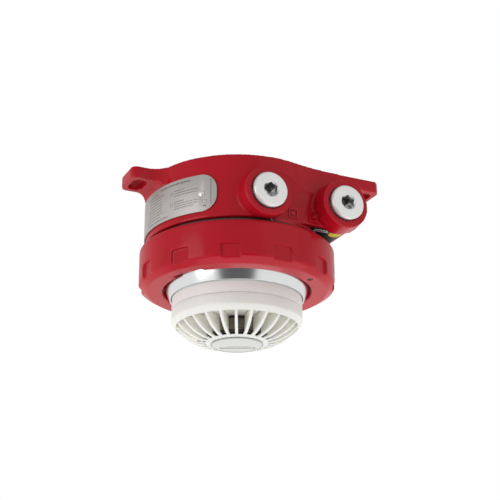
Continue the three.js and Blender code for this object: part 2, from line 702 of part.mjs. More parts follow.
function terminalBoard() {
  let part = disc(board.r, board.topZ, board.topZ - board.thickness, PLUG_SEGMENTS);
  for (let i = 0; i < standoff.count; i += 1) {
    const [x, y] = atStandoff(i);
    const hole = disc(boardScrew.holeR, board.topZ + 1, board.topZ - 3, HOLE_SEGMENTS);
    part = part.subtract(hole.translate([x, y, 0]));
  }
  return part;
}

const boardFootZ = board.topZ - board.thickness;

function boardScrewAt(i) {
  const { r, threadLength, headR, headHeight } = boardScrew;
  const [x, y] = atStandoff(i);
  return slottedScrew(r, threadLength, headR, headHeight).translate([x, y, boardFootZ - GAP]);
}

function terminalStrip(y) {
  const { length, depth, height, ways, wayR, wireWay, wireDepth } = terminalBlock;
  const top = boardFootZ - GAP;
  const outward = Math.sign(y);
  let part = box([-length / 2, y - depth / 2, top - height], [length / 2, y + depth / 2, top]);
  const pitch = length / ways;
  const screwWell = disc(wayR, top - height + 2.5, top - height - 1, 6);
  const wireHole = box(
    [-wireWay / 2, outward * (depth / 2 - wireDepth), top - height + 2],
    [wireWay / 2, outward * (depth / 2 + 1), top - height + 2 + wireWay],
  );
  for (let i = 0; i < ways; i += 1) {
    const x = -length / 2 + pitch * (i + 0.5);
    part = part.subtract(screwWell.add(wireHole).translate([x, y, 0]));
  }
  return part;
}

function innerEarthScrew() {
  const z = -body.backThickness - GAP - earthScrew.washer - GAP;
  const { r, innerLength, headR, headHeight } = earthScrew;
  return slottedScrew(r, innerLength, headR, headHeight).translate([innerEarth.x, innerEarth.y, z]);
}

function innerEarthWasher() {
  const top = -body.backThickness - GAP;
  const part = tube(earthScrew.r + GAP, earthScrew.washerR, top, top - earthScrew.washer, SMALL_SEGMENTS);
  return part.translate([innerEarth.x, innerEarth.y, 0]);
}

// Turn a piece whose head faces -Z so that it faces outward at the outer earth pad.
function atOuterEarth(part, standOff) {
  const [x, y] = polar(body.footR + outerEarth.padReach + standOff, outerEarth.angle);
  return part.rotate([0, -90, 0]).rotate([0, 0, outerEarth.angle]).translate([x, y, outerEarth.z]);
}

function outerEarthScrew() {
  const { r, outerLength, headR, headHeight, washer: plateThickness } = earthScrew;
  return atOuterEarth(slottedScrew(r, outerLength, headR, headHeight), 2 * GAP + plateThickness);
}

function outerEarthWasher() {
  const part = tube(earthScrew.r + GAP, earthScrew.washerR, 0, -earthScrew.washer, SMALL_SEGMENTS);
  return atOuterEarth(part, GAP);
}

// ---------------------------------------------------------------- finishes and assembly

const finishes = {
  redPaint: { color: 0xa81c30, roughness: 0.35, metalness: 0.1 },
  blackRubber: { color: 0x141414, roughness: 0.8, metalness: 0 },
  blackSteel: { color: 0x2c2a2a, roughness: 0.45, metalness: 0.8 },
  nickel: { color: 0xd9dbdc, roughness: 0.18, metalness: 1 },
  brushedSteel: { color: 0xaaa6a2, roughness: 0.4, metalness: 1 },
  blackTag: { color: 0x15171a, roughness: 0.5, metalness: 0 },
  aluminium: { color: 0xc4c7c9, roughness: 0.3, metalness: 1 },
  whitePlastic: { color: 0xdfded6, roughness: 0.5, metalness: 0 },
  brass: { color: 0xc6a35a, roughness: 0.3, metalness: 1 },
  brownScreen: { color: 0x5c564c, roughness: 0.6, metalness: 0.4 },
  blackPlastic: { color: 0x1c1c1e, roughness: 0.6, metalness: 0 },
  greenBoard: { color: 0x1f5a34, roughness: 0.5, metalness: 0 },
  greyPlastic: { color: 0x8d9294, roughness: 0.5, metalness: 0 },
  clearPlastic: { color: 0xe8dcc8, roughness: 0.1, metalness: 0 },
  beadGlass: { color: 0x3a2a20, roughness: 0.2, metalness: 0 },
  whiteLabel: { color: 0xe9e9e4, roughness: 0.6, metalness: 0 },
};

const group = new THREE.Group();

function add(name, finish, part) {
  const mesh3 = new THREE.Mesh(geometryOf(part), new THREE.MeshStandardMaterial(finishes[finish]));
  mesh3.name = name;
  group.add(mesh3);
}

add('enclosure_body', 'redPaint', enclosureBody());
add('cover_ring', 'redPaint', coverRing());
add('cover_seal_ring', 'blackRubber', coverSeal());
add('cover_set_screw', 'blackSteel', coverSetScrew());
entries.forEach((entry, i) => {
  add(`entry_plug_${entry.side}`, 'nickel', stoppingPlug(entry));
  add(`entry_plug_washer_${entry.side}`, 'blackRubber', plugWasher(entry));
  add(`nameplate_rivet_${entry.side}`, 'nickel', nameplateRivet(rivet.angles[i]));
});
add('nameplate', 'brushedSteel', curvedNameplate());
add('underside_tag', 'blackTag', undersideTag());

add('carrier_ring', 'aluminium', carrierRing());
eachCarrierScrew((x, y, i) => {
  const { r, length, headR, headHeight, hexAcross } = carrierScrew;
  const screw = capScrew(r, length, headR, headHeight - GAP, hexAcross);
  add(`carrier_screw_${i + 1}`, 'blackSteel', screw.translate([x, y, carrier.flangeFootZ + headHeight]));
});
add('detector_base', 'whitePlastic', detectorBase());
baseScrew.angles.forEach((angle, i) => add(`base_screw_${i + 1}`, 'nickel', baseFixingScrew(angle)));
for (let i = 0; i < contact.count; i += 1) {
  add(`base_contact_${i + 1}`, 'brass', springContact(i));
  add(`base_terminal_screw_${i + 1}`, 'nickel', contactScrew(i));
  add(`head_contact_stud_${i + 1}`, 'brass', contactStud(i));
}

add('head_shell', 'whitePlastic', headShell());
add('head_collar', 'whitePlastic', tube(collar.innerR, collar.outerR, collar.topZ, collar.footZ));
add('head_inner_plate', 'whitePlastic', headInnerPlate());
add('head_board', 'greenBoard', sheetDisc(headBoard.r, headBoard.topZ, headBoard.thickness));
add('insect_screen', 'brownScreen', insectScreen());
add('sensing_chamber', 'blackPlastic', sensingChamber());
thermistor.angles.forEach((angle, i) => add(`thermistor_${i + 1}`, 'beadGlass', thermistorBead(angle)));
add('led_light_pipe', 'clearPlastic', ledLightPipe());
add('head_label', 'whiteLabel', sheetDisc(headLabel.r, headLabel.z, headLabel.thickness));

add('terminal_board', 'greenBoard', terminalBoard());
for (let i = 0; i < standoff.count; i += 1) {
  add(`board_standoff_${i + 1}`, 'nickel', boardStandoff(i));
  add(`board_screw_${i + 1}`, 'nickel', boardScrewAt(i));
}
terminalBlock.y.forEach((y, i) => add(`terminal_block_${i + 1}`, 'greyPlastic', terminalStrip(y)));
add('inner_earth_screw', 'brass', innerEarthScrew());
add('inner_earth_washer', 'nickel', innerEarthWasher());
add('outer_earth_screw', 'brass', outerEarthScrew());
add('outer_earth_washer', 'nickel', outerEarthWasher());

export default group;
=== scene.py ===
import math
import random

import bmesh
import bpy
from mathutils import Matrix, Vector


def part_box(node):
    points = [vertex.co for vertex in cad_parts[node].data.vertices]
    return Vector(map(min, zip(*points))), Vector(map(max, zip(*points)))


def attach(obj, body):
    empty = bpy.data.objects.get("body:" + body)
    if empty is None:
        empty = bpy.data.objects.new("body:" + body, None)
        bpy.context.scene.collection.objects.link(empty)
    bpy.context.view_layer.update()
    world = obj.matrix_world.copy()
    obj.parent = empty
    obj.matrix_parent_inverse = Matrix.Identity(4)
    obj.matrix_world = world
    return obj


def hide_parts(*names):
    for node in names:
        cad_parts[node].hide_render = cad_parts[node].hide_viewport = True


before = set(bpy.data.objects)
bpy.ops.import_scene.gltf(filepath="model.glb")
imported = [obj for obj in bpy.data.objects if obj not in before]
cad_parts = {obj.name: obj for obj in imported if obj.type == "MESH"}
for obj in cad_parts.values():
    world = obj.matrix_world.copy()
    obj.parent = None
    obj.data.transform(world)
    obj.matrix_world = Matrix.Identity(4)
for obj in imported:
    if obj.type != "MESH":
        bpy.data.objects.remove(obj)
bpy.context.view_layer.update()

bl_info = {
    "name": "Flameproof Heat Detector",
    "version": (1, 0, 0),
    "blender": (4, 5, 0),
    "location": "3D View > Sidebar > Detector",
    "description": "Builds the finished looks of a ceiling heat detector round its packed model",
    "category": "Object",
}

MM = 0.001           # lengths in this script are millimetres unless they say otherwise
ROUND = 160          # facets round the large turned parts
SMALL_ROUND = 40     # facets round screws, rivets and the light pipe


# ---------------------------------------------------------------- sizes read from the frame

def cad_radius(node):
    low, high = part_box(node)
    return max(high.x - low.x, high.y - low.y) / 2 / MM


def cad_ends(node):
    """The top and the foot of a node."""
    low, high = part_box(node)
    return high.z / MM, low.z / MM


def cad_middle(node):
    low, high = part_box(node)
    return (low + high) / 2 / MM


def numbered(name, count):
    return [f"{name}_{i + 1}" for i in range(count)]


# ---------------------------------------------------------------- settings

def length_prop(name, text, default):
    return bpy.props.FloatProperty(name=name, description=f"{text}, in millimetres", default=default)


def colour_prop(name, text, rgb):
    return bpy.props.FloatVectorProperty(
        name=name, description=text, default=rgb, subtype="COLOR", size=3, min=0.0, max=1.0)


def angle_prop(name, text, degrees):
    return bpy.props.FloatProperty(
        name=name, description=text, default=math.radians(degrees), subtype="ANGLE")


class EnclosureSizes(bpy.types.PropertyGroup):
    top_radius: length_prop("Top radius", "Radius of the wall at the mounting face", 70)
    foot_radius: length_prop("Foot radius", "Radius of the wall above the cover ring", 70.8)
    wall_depth: length_prop("Wall depth", "Depth of the painted wall", 49.2)
    cast_edge: length_prop("Cast edge", "Size of the voxels that soften the casting", 0.75)
    lug_thickness: length_prop("Lug thickness", "Depth of the mounting lugs", 9)
    lug_corner: length_prop("Lug corner", "Corner radius of the right-hand lug", 6)
    slot_width: length_prop("Slot width", "Width of a lug slot", 11)
    slot_length: length_prop("Slot length", "Length of a lug slot", 19)
    boss_radius: length_prop("Boss radius", "Radius of a cable entry boss", 18.7)
    step_radius: length_prop("Step radius", "Radius of the collar behind the right-hand boss", 19.6)
    thread_radius: length_prop("Entry radius", "Radius of a threaded cable entry", 12.6)
    cavity_radius: length_prop("Cavity radius", "Radius of the space inside", 61)
    back: length_prop("Back", "Thickness of the wall at the mounting face", 7)
    neck_radius: length_prop("Neck radius", "Radius of the threaded neck", 66.2)
    thread_pitch: length_prop("Thread pitch", "Pitch of the cover's thread", 2)


class CoverSizes(bpy.types.PropertyGroup):
    pocket_count: bpy.props.IntProperty(name="Pockets", description="Tool pockets round the ring", default=12)
    pocket_width: length_prop("Pocket width", "Width of a tool pocket", 14.4)
    pocket_depth: length_prop("Pocket depth", "Depth of a tool pocket", 2.1)
    lip_radius: length_prop("Lip radius", "Radius of the opening in the lip", 56.8)
    bore_radius: length_prop("Bore radius", "Radius inside the thread's crests", 66.8)
    lip_top: length_prop("Lip top", "Height of the lip's upper face", -78)
    cast_edge: length_prop("Cast edge", "Size of the voxels that soften the casting", 0.55)


class HeadSizes(bpy.types.PropertyGroup):
    fin_count: bpy.props.IntProperty(name="Fins", description="Fins round the head", default=25)
    fin_thickness: length_prop("Fin thickness", "Thickness of a fin at its outer edge", 2.2)
    disc_radius: length_prop("Disc radius", "Radius of the disc that the fins meet", 23.6)
    grip_pitch: length_prop("Grip pitch", "Distance between two grip ribs", 1.15)


class Finishes(bpy.types.PropertyGroup):
    paint: colour_prop("Enamel", "Colour of the painted castings", (0.47, 0.005, 0.016))
    plastic: colour_prop("Plastic", "Colour of the white mouldings", (0.88, 0.875, 0.825))
    aluminium: colour_prop("Aluminium", "Colour of the turned carrier", (0.80, 0.81, 0.82))
    nickel: colour_prop("Nickel", "Colour of the plated plugs", (0.86, 0.86, 0.85))
    plate: colour_prop("Plate", "Colour of the satin nameplate", (0.49, 0.465, 0.44))


class StageSettings(bpy.types.PropertyGroup):
    lens: bpy.props.FloatProperty(name="Lens", description="Focal length in millimetres", default=79.96)
    heading: angle_prop("Heading", "Camera heading from +Y towards +X", 25.63)
    pitch: angle_prop("Pitch", "Camera pitch above the horizon", 20.85)
    roll: angle_prop("Roll", "Camera roll", -0.4)
    place: bpy.props.FloatVectorProperty(
        name="Camera", description="Place of the camera", default=(-0.3388, -0.7298, -0.3551),
        subtype="XYZ", unit="LENGTH")
    floor_radius: length_prop("Floor radius", "Radius of the round floor", 1500)
    floor_height: length_prop("Floor", "Height of the floor, below the mounting face", -1600)


# ---------------------------------------------------------------- mesh building

def new_piece(name, mesh):
    piece = bpy.data.objects.new(name, mesh)
    bpy.context.scene.collection.objects.link(piece)
    return piece


def piece_from(bm, name):
    bmesh.ops.recalc_face_normals(bm, faces=bm.faces)
    mesh = bpy.data.meshes.new(name)
    bm.to_mesh(mesh)
    bm.free()
    return new_piece(name, mesh)


def polar(radius, degrees):
    return radius * math.cos(math.radians(degrees)), radius * math.sin(math.radians(degrees))


def bearing(node):
    """The angle round the Z axis at which a node lies, in degrees."""
    middle = cad_middle(node)
    return math.degrees(math.atan2(middle.y, middle.x))


def bend(start, control, end, steps=10):
    """Points on a smooth bend from start to end, without its last point."""
    curve = []
    for k in range(steps):
        t = k / steps
        curve.append(tuple(
            a * (1 - t) ** 2 + 2 * b * t * (1 - t) + c * t * t for a, b, c in zip(start, control, end)))
    return curve


def rounded(corners, steps=4):
    """A closed outline in which each corner (a, b, radius) is an arc."""
    outline = []
    count = len(corners)
    for i, (a, b, radius) in enumerate(corners):
        corner = Vector((a, b))
        back = Vector(corners[i - 1][:2]) - corner
        ahead = Vector(corners[(i + 1) % count][:2]) - corner
        if radius <= 0:
            outline.append((a, b))
            continue
        half = back.angle(ahead) / 2
        reach = min(radius / math.tan(half), 0.49 * min(back.length, ahead.length))
        radius = reach * math.tan(half)
        back.normalize()
        ahead.normalize()
        centre = corner + (back + ahead).normalized() * radius / math.sin(half)
        start = corner + back * reach - centre
        end = corner + ahead * reach - centre
        turn = math.atan2(start.x * end.y - start.y * end.x, start.dot(end))
        for k in range(steps + 1):
            spun_start = start.copy()
            spun_start.rotate(Matrix.Rotation(turn * k / steps, 2))
            outline.append(tuple(centre + spun_start))
    return outline


def rectangle(left, right, low, high, corner=0.0):
    return [(left, low, corner), (right, low, corner), (right, high, corner), (left, high, corner)]


def revolved(name, outline, steps=ROUND):
    """A closed solid of revolution about Z from a closed outline of (radius, height)."""
    bm = bmesh.new()
    rings = []
    for radius, height in outline:
        if radius < 1e-4:
            rings.append([bm.verts.new((0, 0, height * MM))])
            continue
        corners = (polar(radius * MM, 360 * k / steps) for k in range(steps))
        rings.append([bm.verts.new((x, y, height * MM)) for x, y in corners])
    for i, ring in enumerate(rings):
        above = rings[(i + 1) % len(rings)]
        if len(ring) == 1 and len(above) == 1:
            continue
        for k in range(steps):
            nearby = (ring[k % len(ring)], ring[(k + 1) % len(ring)],
                      above[(k + 1) % len(above)], above[k % len(above)])
            bm.faces.new(list(dict.fromkeys(nearby)))
    return piece_from(bm, name)


def turned(name, corners, steps=ROUND, arc=4):
    """A turned piece from corners of (radius, height, corner radius)."""
    return revolved(name, rounded(corners, arc), steps)


def rod(radius, high, low, steps=24, name="rod"):
    return turned(name, [(0, high, 0), (radius, high, 0), (radius, low, 0), (0, low, 0)], steps)


def extruded(name, outline, low, high):
    """A flat outline in the XY plane, extruded from low to high."""
    bm = bmesh.new()
    foot = [bm.verts.new((x * MM, y * MM, low * MM)) for x, y in outline]
    top = [bm.verts.new((x * MM, y * MM, high * MM)) for x, y in outline]
    bm.faces.new(foot[::-1])
    bm.faces.new(top)
    for i in range(len(outline)):
        j = (i + 1) % len(outline)
        bm.faces.new((foot[i], foot[j], top[j], top[i]))
    return piece_from(bm, name)


def block(name, low, high):
    """A box from its lowest to its highest corner."""
    return extruded(name, rounded(rectangle(low[0], high[0], low[1], high[1])), low[2], high[2])


def moved(piece, matrix):
    piece.data.transform(matrix)
    return piece


def shifted(piece, x, y, z):
    return moved(piece, Matrix.Translation((x * MM, y * MM, z * MM)))


def spun(piece, degrees, axis="Z"):
    return moved(piece, Matrix.Rotation(math.radians(degrees), 4, axis))


def turned_to_x(piece):
    """Turn a piece so that its X, Y and Z become Y, Z and X."""
    return moved(piece, Matrix(((0, 0, 1, 0), (1, 0, 0, 0), (0, 1, 0, 0), (0, 0, 0, 1))))


def along_x(outline, low, high):
    """A solid along X from an outline in the YZ plane."""
    return turned_to_x(extruded("along_x", outline, low, high))


def facing_entry(piece, x, y, z):
    """Turn a piece made along Z so that +Z points out of the cable entries, then place it."""
    return shifted(spun(piece, 90, "X"), x, y, z)


def facing_out(piece, degrees, radius, height):
    """Turn a piece made along Z so that +Z points out from the axis at that angle."""
    x, y = polar(radius, degrees)
    return shifted(spun(spun(piece, 90, "Y"), degrees), x, y, height)


def over(node, piece, height=0.0):
    """Move a piece made on the Z axis to the axis of a CAD node, at that height."""
    place = cad_middle(node)
    return shifted(piece, place.x, place.y, height)


def settle(piece):
    """Apply the piece's modifiers to its mesh."""
    graph = bpy.context.evaluated_depsgraph_get()
    mesh = bpy.data.meshes.new_from_object(piece.evaluated_get(graph), depsgraph=graph)
    old = piece.data
    piece.modifiers.clear()
    piece.data = mesh
    mesh.name = old.name
    bpy.data.meshes.remove(old)
    return piece


def combined(piece, others, operation):
    for other in others:
        modifier = piece.modifiers.new("combine", "BOOLEAN")
        modifier.solver = "MANIFOLD"
        modifier.operation = operation
        modifier.object = other
    settle(piece)
    for other in others:
        mesh = other.data
        bpy.data.objects.remove(other)
        bpy.data.meshes.remove(mesh)
    return piece


def joined(piece, *others):
    return combined(piece, others, "UNION")


def cut(piece, *others):
    return combined(piece, others, "DIFFERENCE")


def softened(piece, voxel, rounds, keep):
    """Round every edge and fillet every inner corner as a casting has them, then thin the mesh."""
    remesh = piece.modifiers.new("cast", "REMESH")
    remesh.mode = "VOXEL"
    remesh.voxel_size = voxel * MM
    smooth = piece.modifiers.new("soften", "SMOOTH")
    smooth.factor = 0.5
    smooth.iterations = rounds
    thin = piece.modifiers.new("thin", "DECIMATE")
    thin.ratio = keep
    return settle(piece)


def eased(piece, width, segments, degrees):
    """Bevel every edge that is sharper than the angle given."""
    bevel = piece.modifiers.new("edge", "BEVEL")
    bevel.width = width * MM
    bevel.segments = segments
    bevel.limit_method = "ANGLE"
    bevel.angle_limit = math.radians(degrees)
    return settle(piece)


def finished(piece, body, slot_name, materials, *nodes, smooth=35):
    """Shade a piece, give it its materials and body, and hide the CAD nodes it stands for; slot_name is not
    used.
    """
    if smooth:
        piece.data.shade_smooth()
        piece.data.set_sharp_from_angle(angle=math.radians(smooth))
    piece.data.materials.clear()
    for name in (materials,) if isinstance(materials, str) else materials:
        piece.data.materials.append(MATERIALS[name])
    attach(piece, body)
    if nodes:
        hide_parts(*nodes)
    return piece


# ---------------------------------------------------------------- shader nodes

GROUPS = {}
MATERIALS = {}


def add_node(tree, kind, **values):
    node = tree.nodes.new(kind)
    for name, value in values.items():
        if name.startswith("in_"):
            node.inputs[name[3:].replace("_", " ")].default_value = value
        else:
            setattr(node, name, value)
    return node


def feed(tree, socket, value):
    """Link a node's output to a socket, or set a plain value on it."""
    if isinstance(value, bpy.types.NodeSocket):
        tree.links.new(value, socket)
    else:
        socket.default_value = value


def noise(tree, vector, scale, detail, roughness=0.5):
    node = add_node(tree, "ShaderNodeTexNoise", in_Detail=detail, in_Roughness=roughness)
    feed(tree, node.inputs["Vector"], vector)
    feed(tree, node.inputs["Scale"], scale)
    return node.outputs["Fac"]


def remap(tree, value, low, high, from_low=0.3, from_high=0.7):
    node = add_node(tree, "ShaderNodeMapRange")
    for socket, amount in (("Value", value), ("From Min", from_low), ("From Max", from_high),
                           ("To Min", low), ("To Max", high)):
        feed(tree, node.inputs[socket], amount)
    return node.outputs["Result"]


def mixed(tree, factor, first, second):
    node = add_node(tree, "ShaderNodeMix", data_type="RGBA")
    for socket, value in ((0, factor), (6, first), (7, second)):
        feed(tree, node.inputs[socket], value)
    return node.outputs[2]


def maths(tree, operation, first, second=0.0):
    node = add_node(tree, "ShaderNodeMath", operation=operation)
    for socket, value in enumerate((first, second)):
        feed(tree, node.inputs[socket], value)
    return node.outputs[0]


def vector_maths(tree, operation, vector, socket, value):
    node = add_node(tree, "ShaderNodeVectorMath", operation=operation)
    feed(tree, node.inputs[0], vector)
    feed(tree, node.inputs[socket], value)
    return node


KINDS = {float: "NodeSocketFloat", tuple: "NodeSocketVector"}


def group_start(name, inputs, outputs):
    """A node group with a Vector input, the inputs given as {name: default}, and its outputs."""
    group = bpy.data.node_groups.new(name, "ShaderNodeTree")
    GROUPS[name] = group
    group.interface.new_socket(name="Vector", in_out="INPUT", socket_type="NodeSocketVector")
    for label, value in inputs.items():
        kind = "NodeSocketColor" if label == "Colour" else KINDS[type(value)]
        group.interface.new_socket(name=label, in_out="INPUT", socket_type=kind).default_value = value
    for label in outputs:
        kind = "NodeSocketColor" if label == "Colour" else "NodeSocketFloat"
        group.interface.new_socket(name=label, in_out="OUTPUT", socket_type=kind)
    entry = group.nodes.new("NodeGroupInput").outputs
    leave = group.nodes.new("NodeGroupOutput").inputs
    return group, entry, leave


def surface_skin_group():
    """Slow colour drift, fine speckle, and a roughness that drifts with them."""
    group, entry, leave = group_start("Surface Skin", {
        "Colour": (0.5, 0.5, 0.5, 1), "Drift": 0.08, "Drift Scale": 35.0,
        "Rough Low": 0.25, "Rough High": 0.35,
    }, ("Colour", "Roughness"))
    slow = noise(group, entry["Vector"], entry["Drift Scale"], 4.0)
    speck = noise(group, entry["Vector"], 1400.0, 2.0, 0.55)
    low = maths(group, "SUBTRACT", 1.0, entry["Drift"])
    high = maths(group, "ADD", 1.0, entry["Drift"])
    speckle = remap(group, speck, 0.985, 1.015)
    gain = maths(group, "MULTIPLY", remap(group, slow, low, high), speckle)
    shade = vector_maths(group, "SCALE", entry["Colour"], "Scale", gain)
    feed(group, leave["Colour"], shade.outputs[0])
    feed(group, leave["Roughness"], remap(group, slow, entry["Rough Low"], entry["Rough High"]))


def edge_wear_and_painted_light_group():
    """A mask that is 1 on sharp outer edges, broken up by noise, used for worn edges and for a painted edge
    highlight, and another in hollow corners, used for painted shade.
    """
    group, entry, leave = group_start("Edge Wear And Painted Light", {"Start": 0.53, "End": 0.62}, ("Mask", "Hollow Shade"))
    edge = add_node(group, "ShaderNodeNewGeometry").outputs["Pointiness"]
    ridge = remap(group, edge, 0.0, 1.0, entry["Start"], entry["End"])
    breakup = remap(group, noise(group, entry["Vector"], 420.0, 4.0, 0.55), 0.25, 1.0, 0.35, 0.6)
    feed(group, leave["Mask"], maths(group, "MULTIPLY", ridge, breakup))
    feed(group, leave["Hollow Shade"], remap(group, edge, 1.0, 0.0, 0.40, 0.49))


def turning_marks_group():
    """Fine lathe or brushing lines: noise squeezed along one direction of the vector given."""
    group, entry, leave = group_start(
        "Turning Marks", {"Squeeze": (1.0, 1.0, 60.0), "Scale": 60.0}, ("Height", "Streak"))
    stretch = vector_maths(group, "MULTIPLY", entry["Vector"], 1, entry["Squeeze"])
    marks = noise(group, stretch.outputs[0], entry["Scale"], 5.0, 0.7)
    feed(group, leave["Height"], marks)
    feed(group, leave["Streak"], remap(group, marks, 0.0, 1.0))


def fine_grain_group():
    """The skin of paint or a moulding: a soft orange peel with fine grain on it."""
    group, entry, leave = group_start(
        "Fine Grain", {"Peel Scale": 260.0, "Grain Scale": 2600.0, "Grain": 0.2}, ("Height",))
    peel = noise(group, entry["Vector"], entry["Peel Scale"], 1.0)
    grain = noise(group, entry["Vector"], entry["Grain Scale"], 2.0)
    feed(group, leave["Height"], maths(group, "ADD", peel, maths(group, "MULTIPLY", grain, entry["Grain"])))


def use_group(tree, name, vector, **values):
    node = add_node(tree, "ShaderNodeGroup", node_tree=GROUPS[name])
    feed(tree, node.inputs["Vector"], vector)
    for key, value in values.items():
        node.inputs[key.replace("_", " ")].default_value = value
    return node.outputs


def new_material(name):
    material = bpy.data.materials.new(name)
    material.use_nodes = True
    tree = material.node_tree
    place = tree.nodes.new("ShaderNodeTexCoord")
    MATERIALS[name] = material
    return tree, tree.nodes["Principled BSDF"].inputs, place.outputs["Object"]


def set_bump(tree, shader, height, strength, distance):
    bump = add_node(tree, "ShaderNodeBump", in_Strength=strength, in_Distance=distance)
    feed(tree, bump.inputs["Height"], height)
    feed(tree, shader["Normal"], bump.outputs["Normal"])


def rgba(colour, gain=1.0, lift=0.0):
    return (*(min(1.0, part * gain + lift) for part in colour), 1.0)


def plain_finish(name, colour, rough, metal=0.0, drift=0.08, drift_scale=60.0,
                 bump=0.15, peel=500.0, wear=None):
    """A finish with colour drift, uneven roughness, fine grain and, if asked, worn edges."""
    tree, shader, vector = new_material(name)
    skin = use_group(tree, "Surface Skin", vector, Colour=rgba(colour), Drift=drift, Drift_Scale=drift_scale,
                     Rough_Low=rough[0], Rough_High=rough[1])
    shade = skin["Colour"]
    if wear is not None:
        shade = mixed(tree, use_group(tree, "Edge Wear And Painted Light", vector)["Mask"], shade, rgba(wear))
    feed(tree, shader["Base Color"], shade)
    feed(tree, shader["Roughness"], skin["Roughness"])
    shader["Metallic"].default_value = metal
    grain = use_group(tree, "Fine Grain", vector, Peel_Scale=peel)
    set_bump(tree, shader, grain["Height"], bump, 0.0002)
    return shader


def enamel_finish(colour):
    tree, shader, vector = new_material("red_enamel")
    skin = use_group(tree, "Surface Skin", vector, Colour=rgba(colour), Drift=0.06, Drift_Scale=22.0,
                     Rough_Low=0.26, Rough_High=0.36)
    edges = use_group(tree, "Edge Wear And Painted Light", vector, Start=0.525, End=0.60)
    # Sharp edges of the enamel are painted lighter: a painted highlight along the edges.
    lit = mixed(tree, edges["Mask"], skin["Colour"], rgba(colour, 1.5, 0.02))
    # Hollow corners of the enamel are painted darker: painted shade in the inside corners.
    hollow_shade = maths(tree, "MULTIPLY", edges["Hollow Shade"], 0.6)
    feed(tree, shader["Base Color"], mixed(tree, hollow_shade, lit, rgba(colour, 0.45)))
    feed(tree, shader["Roughness"], skin["Roughness"])
    shader["Specular IOR Level"].default_value = 0.08
    shader["Coat Weight"].default_value = 0.24
    shader["Coat Roughness"].default_value = 0.08
    grain = use_group(tree, "Fine Grain", vector, Peel_Scale=420.0, Grain=0.1)
    set_bump(tree, shader, grain["Height"], 0.12, 0.0004)


def turned_metal(name, colour, rough, squeeze, scale, bump, metal=1.0):
    tree, shader, vector = new_material(name)
    marks = use_group(tree, "Turning Marks", vector, Squeeze=squeeze, Scale=scale)
    feed(tree, shader["Base Color"], mixed(tree, marks["Streak"], rgba(colour, 0.9), rgba(colour)))
    feed(tree, shader["Roughness"], remap(tree, marks["Streak"], rough[0], rough[1], 0.0, 1.0))
    shader["Metallic"].default_value = metal
    set_bump(tree, shader, marks["Height"], bump, 0.0001)


def screen_finish(wires_round=150.0, wires_up=5200.0):
    """Woven steel screen: a fine square mesh seen as dark holes between lighter wires."""
    tree, shader, vector = new_material("steel_screen")
    split = tree.nodes.new("ShaderNodeSeparateXYZ")
    feed(tree, split.inputs[0], vector)
    angle = maths(tree, "ARCTAN2", split.outputs["Y"], split.outputs["X"])
    turns = maths(tree, "SINE", maths(tree, "MULTIPLY", angle, wires_round))
    rows = maths(tree, "SINE", maths(tree, "MULTIPLY", split.outputs["Z"], wires_up))
    wire = maths(tree, "MAXIMUM", turns, rows)
    mask = remap(tree, wire, 0.0, 1.0, 0.3, 0.8)
    feed(tree, shader["Base Color"], mixed(tree, mask, (0.09, 0.08, 0.06, 1), (0.34, 0.30, 0.23, 1)))
    feed(tree, shader["Roughness"], remap(tree, mask, 0.75, 0.4, 0.0, 1.0))
    shader["Metallic"].default_value = 0.5
    set_bump(tree, shader, wire, 0.5, 0.0002)


def glassy(name, colour, rough, transmission):
    tree, shader, vector = new_material(name)
    skin = use_group(tree, "Surface Skin", vector, Colour=rgba(colour), Drift=0.1, Drift_Scale=300.0,
                     Rough_Low=rough, Rough_High=rough + 0.12)
    feed(tree, shader["Base Color"], skin["Colour"])
    feed(tree, shader["Roughness"], skin["Roughness"])
    shader["Transmission Weight"].default_value = transmission
    shader["IOR"].default_value = 1.49


def plastic_finish(name, colour, rough):
    shader = plain_finish(name, colour, rough, drift=0.025, drift_scale=45.0, bump=0.10, peel=900.0)
    shader["Subsurface Weight"].default_value = 0.5
    shader["Subsurface Radius"].default_value = (1.0, 0.9, 0.65)
    shader["Subsurface Scale"].default_value = 0.004


# ---------------------------------------------------------------- operators

